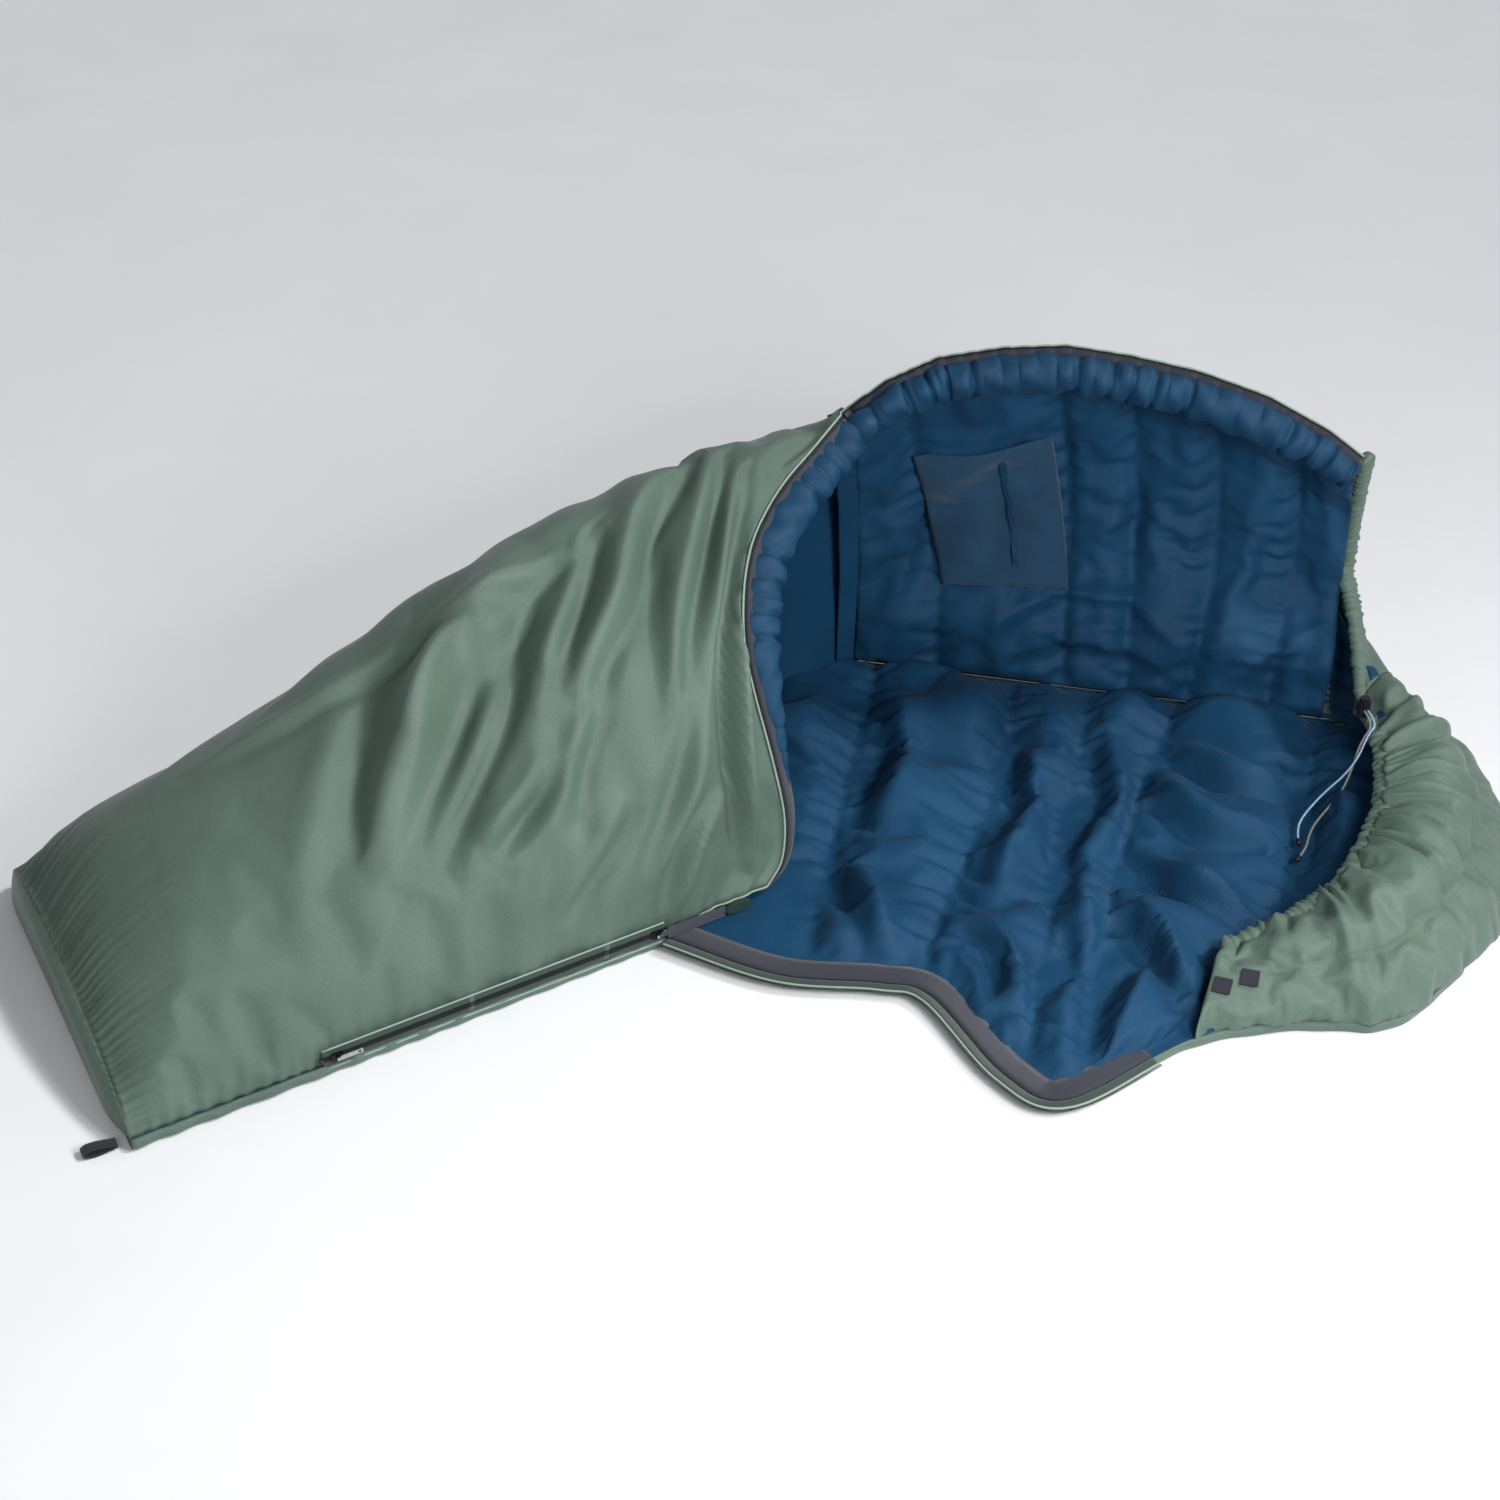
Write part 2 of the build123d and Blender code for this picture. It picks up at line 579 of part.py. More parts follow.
def zip_slider(along):
    """A slider: two plates joined by a web that runs in the gap between the coils, and a bail."""
    ends = (along - SLIDER_LENGTH / 2, along + SLIDER_LENGTH / 2)
    inner = zip_box(ends, (SLIDER_SINK, TAPE_STANDOFF - SLIDER_CLEARANCE), (-slider_half, slider_half))
    outer = zip_box(ends, (plate_at, plate_at + SLIDER_PLATE), (-slider_half, slider_half))
    web_ends = (ends[0] + SLIDER_WEB_INSET, ends[1] - SLIDER_WEB_INSET)
    web = zip_box(web_ends, (2 * SLIDER_SINK, plate_at + SLIDER_SINK), (-SLIDER_WEB / 2, SLIDER_WEB / 2))
    body = inner + outer + web
    for side in (-1, 1):
        flange_up = sorted((side * slider_half, side * (slider_half - SLIDER_PLATE)))
        body += zip_box(ends, (coil_at + SLIDER_SINK, plate_at + SLIDER_SINK), flange_up)
        post_up = sorted((side * BAIL_HALF, side * (BAIL_HALF - BAIL_POST)))
        post_along = (along - BAIL_POST, along + BAIL_POST)
        body += zip_box(post_along, (plate_at + SLIDER_SINK, bail_out + BAIL_POST), post_up)
    pin = zip_frame * Pos(along, -bail_out, 0) * Cylinder(BAIL_RADIUS, 2 * BAIL_HALF - 0.8)
    return body + pin


def puller(along, length, width):
    """A flat pull that turns on the slider's bail and points along the zip towards the mouth."""
    eye_reach = BAIL_RADIUS + EYE_CLEARANCE + EYE_WALL
    eye_height = 2 * (BAIL_HALF - BAIL_POST) - 2 * EYE_CLEARANCE
    thickness = (bail_out - PULLER_THICKNESS / 2, bail_out + PULLER_THICKNESS / 2)
    plate = zip_box((along, along + length), thickness, (-width / 2, width / 2))
    room = EYE_NECK - 1
    clear = zip_box((along - room, along + room), (bail_out - room, bail_out + room), (-width, width))
    eye = zip_frame * Pos(along, -bail_out, 0) * Cylinder(eye_reach, eye_height)
    neck = zip_box((along, along + EYE_NECK), thickness, (-eye_height / 2, eye_height / 2))
    hole = zip_frame * Pos(along, -bail_out, 0) * Cylinder(BAIL_RADIUS + EYE_CLEARANCE, 3 * width)
    return (plate - clear) + neck + eye - hole


zip_total = (MOUTH_NEAR - FOOT_NEAR).length
lower_at = (LOWER_SLIDER_AT - ZIP_START) * zip_total
main_at = ZIP_LENGTH - SLIDER_LENGTH / 2 - 2
parts["lower_slider"] = zip_slider(lower_at)
parts["main_slider"] = zip_slider(main_at)
lower_pull = puller(lower_at, LOWER_PULLER_LENGTH, PULLER_WIDTH)
pull_hole_place = Pos(lower_at + LOWER_PULLER_LENGTH - PULLER_HOLE_INSET, -bail_out, 0)
pull_hole = zip_frame * pull_hole_place * Rot(90, 0, 0) * Cylinder(PULLER_HOLE_RADIUS, 5 * PULLER_THICKNESS)
parts["lower_puller"] = lower_pull - pull_hole
parts["main_puller_link"] = puller(main_at, LINK_LENGTH, PULLER_WIDTH)
strap_start = main_at + LINK_LENGTH + PLY_GAP
strap_out = (bail_out - STRAP_THICKNESS / 2, bail_out + STRAP_THICKNESS / 2)
parts["main_puller_strap"] = zip_box(
    (strap_start, strap_start + STRAP_LENGTH), strap_out, (-STRAP_WIDTH / 2, STRAP_WIDTH / 2))
grip_start = strap_start + STRAP_LENGTH + PLY_GAP
grip = zip_frame * Pos(grip_start + GRIP_LENGTH / 2, -bail_out, 0) * Rot(90, 0, 0) * extrude(
    Ellipse(GRIP_LENGTH / 2, GRIP_WIDTH / 2), GRIP_THICKNESS / 2, both=True)
parts["main_puller_grip"] = grip

# ---------------------------------------------------------------- hook-and-loop squares at the neck
squares = []
for direction in TAB_DIRECTIONS:
    mix = (direction - HOOD_STATIONS[0][0]) / (HOOD_STATIONS[1][0] - HOOD_STATIONS[0][0])
    station = tuple(a + (b - a) * mix for a, b in zip(HOOD_STATIONS[0], HOOD_STATIONS[1]))
    points, normals, place = hood_section(station)
    low, high = points[2], points[3]
    slope = Vector(high[0] - low[0], 0, high[1] - low[1]).normalized()
    radial_dir = heading(direction)
    along = radial_dir * slope.X + UP * slope.Z
    facing = radial_dir * -slope.Z + UP * slope.X
    centre = place(low[0] + (high[0] - low[0]) * TAB_RADIAL, low[1] + (high[1] - low[1]) * TAB_RADIAL)
    plane = Plane(centre + facing * TAB_STANDOFF, x_dir=along, z_dir=facing)
    squares.append(extrude(plane * Rectangle(TAB_SQUARE, TAB_SQUARE), TAB_THICKNESS))
parts["hook_square"] = squares[0]
parts["loop_square"] = squares[1]

# ---------------------------------------------------------------- foot loop
loop_frame = Plane(FOOT_NEAR + foot_shift, x_dir=LEG_ACROSS, z_dir=UP)
loop_depth = LOOP_GAP + 2 * LOOP_THICKNESS
loop_middle = Pos(LOOP_WIDTH / 2 + LOOP_INSET, LOOP_DROP / 2 + PLY_GAP, 0)
loop_outer = loop_middle * Box(LOOP_WIDTH, LOOP_DROP, loop_depth)
loop_inner = loop_middle * Box(LOOP_WIDTH + 2, LOOP_DROP - 2 * LOOP_THICKNESS, LOOP_GAP)
loop_height = loop_depth / 2 + LOOP_ABOVE_FLOOR
parts["foot_loop"] = loop_frame * Pos(0, 0, loop_height) * (loop_outer - loop_inner)

# ---------------------------------------------------------------- cord lock and free cords
LOCK_CENTRE = Vector(*LOCK_PLACE)
lock_frame = Plane(LOCK_CENTRE, x_dir=heading(LOCK_CORD_HEADING), z_dir=UP)
CAVITY_RADIUS = LOCK_RADIUS - LOCK_WALL
floor_low = -LOCK_LENGTH / 2
cord_holes = []
for side in (-1, 1):
    cord_holes.append(Pos(0, side * CORD_SPACING / 2, 0) * Rot(0, 90, 0) * Cylinder(CORD_HOLE_RADIUS, 60))
lock_body = Cylinder(LOCK_RADIUS, LOCK_LENGTH)
lock_body -= Pos(0, 0, LOCK_WALL) * Cylinder(CAVITY_RADIUS, LOCK_LENGTH)
for hole in cord_holes:
    lock_body -= hole
parts["cord_lock_body"] = lock_frame * lock_body
plunger_radius = CAVITY_RADIUS - PLUNGER_CLEARANCE
plunger_high = LOCK_LENGTH / 2 + PLUNGER_PROUD
plunger = Pos(0, 0, (PLUNGER_LOW + plunger_high) / 2) * Cylinder(plunger_radius, plunger_high - PLUNGER_LOW)
slot_high = CORD_HOLE_RADIUS + PLUNGER_TRAVEL + SLOT_CLEARANCE
slot_low = -CORD_HOLE_RADIUS - SLOT_CLEARANCE
slot_width = CORD_SPACING + 2 * CORD_HOLE_RADIUS + 0.6
plunger -= Pos(0, 0, (slot_high + slot_low) / 2) * Box(60, slot_width, slot_high - slot_low)
parts["cord_lock_plunger"] = lock_frame * plunger
spring_low = floor_low + LOCK_WALL + SPRING_CLEARANCE
spring_high = PLUNGER_LOW - SPRING_CLEARANCE / 2
spring = Cylinder(plunger_radius - SPRING_WALL, spring_high - spring_low)
spring -= Cylinder(plunger_radius - 2 * SPRING_WALL, LOCK_LENGTH)
parts["cord_lock_spring"] = lock_frame * Pos(0, 0, (spring_low + spring_high) / 2) * spring

cord_runs = {
    "hood_cord": (1, [
        (806, 130, 130), (797, 108, 104), (781, 90, 82), (757, 72, 62), (739, 52, 46), (727, 30, 38),
        (722, 6, 34), (725, -18, 33),
    ]),
    "collar_cord": (-1, [
        (798, 127, 120), (791, 106, 90), (783, 84, 66), (769, 62, 50), (755, 40, 41), (744, 16, 36),
        (739, -10, 33), (737, -35, 32), (729, -56, 31),
    ]),
}

for name, (side, route) in cord_runs.items():
    start = lock_frame.from_local_coords(Vector(CORD_START, side * CORD_SPACING / 2, 0))
    turn = lock_frame.from_local_coords(Vector(CORD_TURN, side * CORD_SPACING / 2, 0))
    corners = [start, turn] + [Vector(*point) for point in route]
    radii = []
    for a, b, c in zip(corners, corners[1:], corners[2:]):
        angle = math.radians((b - a).get_angle(c - b))
        radii.append(TANGENT_SHARE * min((b - a).length, (c - b).length) / math.tan(angle / 2))
    path = FilletPolyline(*corners, radius=radii)
    section = Plane(start, z_dir=corners[1] - start) * Circle(CORD_RADIUS)
    cord = sweep(section, path=path)
    parts[name] = cord
    print(name, "length", round(path.length), "volume ratio",
          round(cord.volume / (math.pi * CORD_RADIUS ** 2 * path.length), 3),
          "radii", [round(r) for r in radii])
    last_run = (corners[-1] - corners[-2]).normalized()
    bead_plane = Plane(corners[-1], z_dir=last_run)
    bead = bead_plane * Pos(0, 0, BEAD_LENGTH / 2) * Cylinder(BEAD_RADIUS, BEAD_LENGTH)
    parts[name + "_end"] = fillet(bead.edges(), BEAD_EDGE)

tab_place = Pos(CORD_START - ANCHOR_TAB[0] / 2, 0, -ANCHOR_TAB_DROP)
parts["cord_anchor_tab"] = lock_frame * tab_place * Box(*ANCHOR_TAB)

if __name__ == "__main__":
    os.makedirs("parts", exist_ok=True)
    for name, solid in parts.items():
        export_step(solid, "parts/" + name + ".step")
        print(name, round(solid.volume / 1000, 1), "cm3", solid.is_valid)
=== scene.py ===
import bpy
import math
import random
import numpy as np
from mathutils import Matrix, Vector
from mathutils.bvhtree import BVHTree


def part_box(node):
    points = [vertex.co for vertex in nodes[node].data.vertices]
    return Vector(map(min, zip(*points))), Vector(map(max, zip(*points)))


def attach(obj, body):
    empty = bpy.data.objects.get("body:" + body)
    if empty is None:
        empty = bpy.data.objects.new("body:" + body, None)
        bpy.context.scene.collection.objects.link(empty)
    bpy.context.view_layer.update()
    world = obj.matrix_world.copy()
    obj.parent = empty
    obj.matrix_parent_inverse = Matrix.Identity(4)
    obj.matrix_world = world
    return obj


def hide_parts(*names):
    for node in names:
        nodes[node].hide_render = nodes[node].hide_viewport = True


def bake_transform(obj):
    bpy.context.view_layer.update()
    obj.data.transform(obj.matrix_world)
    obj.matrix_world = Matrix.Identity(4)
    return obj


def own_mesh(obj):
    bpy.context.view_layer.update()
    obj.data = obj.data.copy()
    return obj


# A mummy sleeping bag lying open: sewn cloths are laid over the frame's plies, then puffed and
# creased; its trims, zips and cords follow the edges of those cloths.  All sizes are in metres.

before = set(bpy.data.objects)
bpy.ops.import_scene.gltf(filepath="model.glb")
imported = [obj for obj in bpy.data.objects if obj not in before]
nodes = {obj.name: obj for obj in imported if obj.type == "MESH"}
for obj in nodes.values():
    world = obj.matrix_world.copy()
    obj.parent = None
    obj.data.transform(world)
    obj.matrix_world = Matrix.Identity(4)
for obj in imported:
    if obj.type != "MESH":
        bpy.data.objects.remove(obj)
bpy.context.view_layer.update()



def plies(*starts):
    """The CAD nodes whose names start so."""
    return tuple(name for name in nodes if name.startswith(starts))


# ---------------------------------------------------------------- camera, floor and lights
CAMERA_AIM = Vector((-0.108, 0.070, 0.0))
CAMERA_HEADING = math.radians(13.0)
CAMERA_RISE = math.radians(35.0)
CAMERA_REACH = 3.9
CAMERA_ANGLE = math.radians(33.0)


def add_camera():
    back = Vector((math.sin(CAMERA_HEADING) * math.cos(CAMERA_RISE),
                   -math.cos(CAMERA_HEADING) * math.cos(CAMERA_RISE), math.sin(CAMERA_RISE)))
    bpy.ops.object.camera_add(location=CAMERA_AIM + back * CAMERA_REACH)
    camera = bpy.context.object
    camera.rotation_euler = (-back).to_track_quat("-Z", "Y").to_euler()
    camera.data.lens = camera.data.sensor_width / 2 / math.tan(CAMERA_ANGLE / 2)
    bpy.context.scene.camera = camera


def add_lamp(name, place, aim, size, power):
    bpy.ops.object.light_add(type="AREA", location=place)
    lamp = bpy.context.object
    lamp.name = name
    lamp.rotation_euler = (Vector(place) - Vector(aim)).to_track_quat("Z", "Y").to_euler()
    lamp.data.size = size
    lamp.data.energy = power


add_camera()
add_lamp("key_light", (1.35, -1.35, 1.45), (0.25, 0.15, 0.25), 0.6, 38)
add_lamp("front_light", (-0.5, -2.4, 1.5), (0.35, 0.3, 0.3), 1.2, 9)
bpy.ops.object.light_add(type="SUN", location=(1.0, -1.6, 3.0))
sun = bpy.context.object
sun.name = "even_light"
sun.rotation_euler = Vector((0.80, 0.22, 0.86)).to_track_quat("Z", "Y").to_euler()
sun.data.energy = 1.7
sun.data.angle = 0.16
world = bpy.data.worlds.new("studio")
world.use_nodes = True
world.node_tree.nodes["Background"].inputs["Color"].default_value = (0.93, 0.95, 1.0, 1)
world.node_tree.nodes["Background"].inputs["Strength"].default_value = 0.30
bpy.context.scene.world = world
bpy.context.scene.view_settings.view_transform = "Standard"


# ---------------------------------------------------------------- shader maths
class Link:
    """A node's output socket; arithmetic on it adds Math nodes."""

    def __init__(self, recipe, socket):
        self.recipe = recipe
        self.socket = socket

    def math(self, operation, *others):
        return self.recipe.node("ShaderNodeMath", {"operation": operation}, [self, *others])

    def __add__(self, other):
        return self.math("ADD", other)

    def __radd__(self, other):
        return self.math("ADD", other)

    def __sub__(self, other):
        return self.math("SUBTRACT", other)

    def __rsub__(self, other):
        return self.recipe.node("ShaderNodeMath", {"operation": "SUBTRACT"}, [other, self])

    def __mul__(self, other):
        return self.math("MULTIPLY", other)

    def __rmul__(self, other):
        return self.math("MULTIPLY", other)

    def __truediv__(self, other):
        return self.math("DIVIDE", other)

    def __lt__(self, other):
        return self.math("LESS_THAN", other)

    def __gt__(self, other):
        return self.math("GREATER_THAN", other)

    def __abs__(self):
        return self.math("ABSOLUTE")


class Recipe:
    """The node tree of one material."""

    def __init__(self, name):
        self.material = bpy.data.materials.new(name)
        self.material.use_nodes = True
        self.tree = self.material.node_tree
        self.shader = self.tree.nodes["Principled BSDF"]

    def feed(self, socket, value):
        if isinstance(value, Link):
            self.tree.links.new(value.socket, socket)
        elif value is not None:
            socket.default_value = value

    def node(self, kind, settings=None, inputs=(), output=0):
        made = self.tree.nodes.new(kind)
        for key, value in (settings or {}).items():
            setattr(made, key, value)
        pairs = inputs.items() if isinstance(inputs, dict) else enumerate(inputs)
        for key, value in pairs:
            self.feed(made.inputs[key], value)
        return Link(self, made.outputs[output])

    def finish(self, **values):
        for key, value in values.items():
            self.feed(self.shader.inputs[key.replace("_", " ")], value)
        return self.material


def linear(red, green, blue):
    """A colour given on the 0 to 255 screen scale."""
    def one(value):
        value = value / 255
        return value / 12.92 if value <= 0.04045 else ((value + 0.055) / 1.055) ** 2.4
    return (one(red), one(green), one(blue), 1)


def mix(recipe, share, low, high):
    settings = {"data_type": "RGBA"}
    made = recipe.node("ShaderNodeMix", settings, {0: share, 6: low, 7: high}, output=2)
    return made


def noise(recipe, scale, detail=2.0, rough=0.5):
    at = recipe.node("ShaderNodeTexCoord", output="Object")
    return recipe.node("ShaderNodeTexNoise", None,
                       {"Vector": at, "Scale": scale, "Detail": detail, "Roughness": rough})


def weave(recipe, pitch):
    """The height of a plain weave on the cloth's own map, whose unit is the metre."""
    at = recipe.node("ShaderNodeTexCoord", output="UV")
    warp = recipe.node("ShaderNodeSeparateXYZ", None, [at], output=0)
    weft = recipe.node("ShaderNodeSeparateXYZ", None, [at], output=1)
    turn = 2 * math.pi / pitch
    return (warp * turn).math("SINE") * (weft * turn).math("SINE")


def thread_line(recipe, pitch=0.0038, width=0.0007):
    """Where the stitches of the nearest seam show, from the seam and run attributes."""
    seam = recipe.node("ShaderNodeAttribute", {"attribute_name": "seam"}, output="Fac")
    run = recipe.node("ShaderNodeAttribute", {"attribute_name": "run"}, output="Fac")
    return (abs(seam) < width) * ((run / pitch).math("FRACT") < 0.68)


def cloth_paint(name, dark, light, pitch=0.0009, sheen=0.25, rough=0.5, crease=0.35, stitched=False,
                crumple=38.0, gloss=0.35):
    """Woven cloth: thread by thread colour, fine creases and a stitched seam line."""
    recipe = Recipe(name)
    tone = noise(recipe, 5.5, 3.0, 0.55)
    grain = noise(recipe, 520.0, 1.0, 0.5)
    shade = tone * 0.55 + grain * 0.45
    colour = mix(recipe, (shade - 0.32) * 2.1, dark, light)
    crumpled = noise(recipe, crumple, 4.0, 0.55)
    height = crumpled * crease + weave(recipe, pitch) * 0.02 + grain * 0.03
    if stitched:
        thread = thread_line(recipe)
        colour = mix(recipe, thread * 0.5, colour, dark)
        height = height + thread * 0.05
    bump = recipe.node("ShaderNodeBump", None, {"Strength": 0.55, "Distance": 0.006, "Height": height})
    return recipe.finish(Base_Color=colour, Roughness=rough + 0.12 * (tone - 0.5), Normal=bump,
                         Sheen_Weight=sheen, Sheen_Roughness=0.45, Specular_IOR_Level=gloss)


def ribbed_paint(name, dark, light, rib=0.0016, rough=0.7):
    """Woven tape with ribs across it."""
    recipe = Recipe(name)
    at = recipe.node("ShaderNodeTexCoord", output="UV")
    along = recipe.node("ShaderNodeSeparateXYZ", None, [at], output=1)
    ribs = (along * (2 * math.pi / rib)).math("SINE") * 0.5 + 0.5
    fuzz = noise(recipe, 640.0, 2.0)
    colour = mix(recipe, ribs * 0.6 + fuzz * 0.4, dark, light)
    bump = recipe.node("ShaderNodeBump", None,
                       {"Strength": 0.6, "Distance": 0.001, "Height": ribs + fuzz * 0.5})
    return recipe.finish(Base_Color=colour, Roughness=rough + 0.1 * fuzz, Normal=bump, Sheen_Weight=0.2)


def moulded_paint(name, dark, light, rough=0.45, metal=0.0, wear=90.0, scratch=0.4):
    """Moulded or cast stock with a fine uneven skin."""
    recipe = Recipe(name)
    cloudy = noise(recipe, wear, 5.0, 0.6)
    fine = noise(recipe, 1400.0, 1.0)
    colour = mix(recipe, cloudy, dark, light)
    bump = recipe.node("ShaderNodeBump", None,
                       {"Strength": scratch, "Distance": 0.0006, "Height": cloudy * 0.6 + fine * 0.4})
    return recipe.finish(Base_Color=colour, Roughness=rough + 0.2 * (cloudy - 0.5), Metallic=metal,
                         Normal=bump)


def braid_paint(name, dark, light, tracer):
    """A braided cord: slanting strands with a tracer thread, on Object coordinates."""
    recipe = Recipe(name)
    at = recipe.node("ShaderNodeTexCoord", output="Object")
    east = recipe.node("ShaderNodeSeparateXYZ", None, [at], output=0)
    north = recipe.node("ShaderNodeSeparateXYZ", None, [at], output=1)
    height = recipe.node("ShaderNodeSeparateXYZ", None, [at], output=2)
    one = ((east + north + height) * 2600).math("SINE")
    two = ((east - north + height) * 2600).math("SINE")
    strands = one * two * 0.5 + 0.5
    colour = mix(recipe, strands, dark, light)
    colour = mix(recipe, (two > 0.86) * 0.8, colour, tracer)
    bump = recipe.node("ShaderNodeBump", None, {"Strength": 0.8, "Distance": 0.0005, "Height": strands})
    return recipe.finish(Base_Color=colour, Roughness=0.75 - 0.15 * strands, Normal=bump, Sheen_Weight=0.2)


GREEN_DARK, GREEN_LIGHT = linear(76, 96, 85), linear(100, 121, 109)
BLUE_DARK, BLUE_LIGHT = linear(12, 52, 82), linear(26, 76, 110)
shell_cloth = cloth_paint("shell_fabric_satin", GREEN_DARK, GREEN_LIGHT, rough=0.38, crease=0.10,
                          sheen=0.06)
gathered_shell = cloth_paint("shell_fabric_gathered", GREEN_DARK, GREEN_LIGHT, rough=0.45, crease=0.5,
                             sheen=0.06,
                             crumple=60.0)
hood_cloth = cloth_paint("shell_fabric_hood", GREEN_DARK, GREEN_LIGHT, rough=0.42, crease=0.35, sheen=0.06,
                         crumple=44.0, stitched=True)
lining_plain = cloth_paint("lining_fabric_plain", BLUE_DARK, BLUE_LIGHT, rough=0.55, crease=0.3, sheen=0.02,
                           gloss=0.18)
lining_cloth = cloth_paint("lining_fabric_soft", BLUE_DARK, BLUE_LIGHT, rough=0.55, crease=0.30, sheen=0.02,
                           gloss=0.18, stitched=True)
tube_cloth = cloth_paint("draft_tube_fabric", linear(14, 52, 80), linear(26, 72, 104), rough=0.5,
                         crease=0.6,
                         crumple=26.0, sheen=0.02, gloss=0.2)
fleece = cloth_paint("pocket_fleece_nap", linear(16, 52, 78), linear(32, 74, 104), rough=0.85, crease=0.25,
                     crumple=90.0, sheen=0.2, stitched=True)
strip_cloth = ribbed_paint("strip_fabric_ribbed", linear(28, 30, 42), linear(50, 52, 66))
tape_cloth = ribbed_paint("zip_tape_knit", linear(34, 46, 42), linear(58, 76, 68), rib=0.0011)
piping_cloth = ribbed_paint("piping_light", linear(128, 152, 136), linear(168, 188, 172), rib=0.0012,
                            rough=0.55)
coil_plastic = moulded_paint("zip_coil_black", linear(14, 15, 17), linear(32, 33, 36), rough=0.38)
slider_black = moulded_paint("slider_painted", linear(16, 16, 18), linear(34, 34, 37), rough=0.35,
                             metal=0.55)
pull_metal = moulded_paint("puller_satin_metal", linear(150, 152, 155), linear(206, 208, 210), rough=0.3,
                           metal=1.0)
web_black = ribbed_paint("webbing_black", linear(12, 12, 14), linear(34, 34, 38), rib=0.002)
strap_web = ribbed_paint("puller_strap_web", linear(38, 40, 52), linear(70, 72, 86), rib=0.0014)
rubber = moulded_paint("grip_rubber_green", linear(24, 40, 34), linear(46, 66, 56), rough=0.6, wear=220.0)
hook_nap = moulded_paint("hook_and_loop_nap", linear(24, 22, 34), linear(48, 45, 60), rough=0.9, wear=900.0,
                         scratch=1.0)
lock_black = moulded_paint("lock_plastic_black", linear(12, 12, 14), linear(36, 36, 40), rough=0.34)
spring_wire = moulded_paint("spring_steel_wire", linear(120, 122, 126), linear(190, 192, 196), rough=0.25,
                            metal=1.0)
blue_braid = braid_paint("hood_cord_blue", linear(92, 134, 172), linear(150, 184, 212),
                         linear(205, 220, 232))
grey_braid = braid_paint("collar_cord_grey", linear(104, 99, 96), linear(164, 157, 150), linear(60, 58, 60))
floor_paint = moulded_paint("floor_matt", linear(232, 233, 235), linear(240, 241, 243), rough=0.9, wear=3.0,
                            scratch=0.05)


def deselect():
    if bpy.context.object and bpy.context.object.mode != "OBJECT":
        bpy.ops.object.mode_set(mode="OBJECT")
    bpy.ops.object.select_all(action="DESELECT")


def only(piece):
    deselect()
    piece.select_set(True)
    bpy.context.view_layer.objects.active = piece


def dress(piece, material):
    piece.data.materials.clear()
    piece.data.materials.append(material)


# ---------------------------------------------------------------- cords
# the routes are the frame's own, from the cord lock down to the beads
CORD_THICKNESS = 0.0032
HOOD_CORD_ROUTE = [
    (0.79325, 0.19569, 0.141), (0.81925, 0.15066, 0.141), (0.806, 0.130, 0.130), (0.797, 0.108, 0.104),
    (0.781, 0.090, 0.082), (0.757, 0.072, 0.062), (0.739, 0.052, 0.046), (0.727, 0.030, 0.038),
    (0.722, 0.006, 0.034), (0.725, -0.018, 0.033),
]
COLLAR_CORD_ROUTE = [
    (0.78875, 0.19309, 0.141), (0.81475, 0.14806, 0.141), (0.798, 0.127, 0.120), (0.791, 0.106, 0.090),
    (0.783, 0.084, 0.066), (0.769, 0.062, 0.050), (0.755, 0.040, 0.041), (0.744, 0.016, 0.036),
    (0.739, -0.010, 0.033), (0.737, -0.035, 0.032), (0.729, -0.056, 0.031),
]


def free_cord(name, route, material):
    line = bpy.data.curves.new(name, "CURVE")
    line.dimensions = "3D"
    line.bevel_depth = CORD_THICKNESS / 2
    line.bevel_resolution = 3
    line.resolution_u = 10
    spline = line.splines.new("NURBS")
    spline.points.add(len(route) - 1)
    for point, place in zip(spline.points, route):
        point.co = (*place, 1)
    spline.order_u = 3
    spline.use_endpoint_u = True
    line.use_fill_caps = True
    piece = bpy.data.objects.new(name, line)
    bpy.context.collection.objects.link(piece)
    line.materials.append(material)
    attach(piece, "root")
    node = name.replace("_braid", "")
    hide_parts(node)
    return piece


free_cord("hood_cord_braid", HOOD_CORD_ROUTE, blue_braid)
free_cord("collar_cord_braid", COLLAR_CORD_ROUTE, grey_braid)

# ---------------------------------------------------------------- the frame's main lines
PLY_FLOOR = 0.0153          # top of the bottom layer
LEG_HEADING = math.radians(40.4)
LEG_LENGTH = 1.130
FOOT_WIDTH = 0.592
LEG_AXIS = Vector((math.cos(LEG_HEADING), math.sin(LEG_HEADING), 0))
LEG_ACROSS = Vector((-math.sin(LEG_HEADING), math.cos(LEG_HEADING), 0))
FOOT_NEAR = LEG_AXIS * -LEG_LENGTH - LEG_ACROSS * FOOT_WIDTH / 2
FOOT_FAR = LEG_AXIS * -LEG_LENGTH + LEG_ACROSS * FOOT_WIDTH / 2
MOUTH_NEAR = Vector((0, -0.300, 0))
MOUTH_FAR = Vector((0, 0.330, 0))
HOOD_CENTRE = Vector((0.690, -0.020, 0))
HOOD_FROM, HOOD_TO = math.radians(-99.6), math.radians(65.6)
FLARE_SHARE = 0.82          # where the two layers part, at the main slider
UP = Vector((0, 0, 1))


def tree(*names):
    """A search tree over the faces of CAD plies."""
    points, faces = [], []
    for name in names:
        mesh = nodes[name].data
        start = len(points)
        points += [v.co.copy() for v in mesh.vertices]
        faces += [[start + i for i in p.vertices] for p in mesh.polygons]
    return BVHTree.FromPolygons(points, faces)


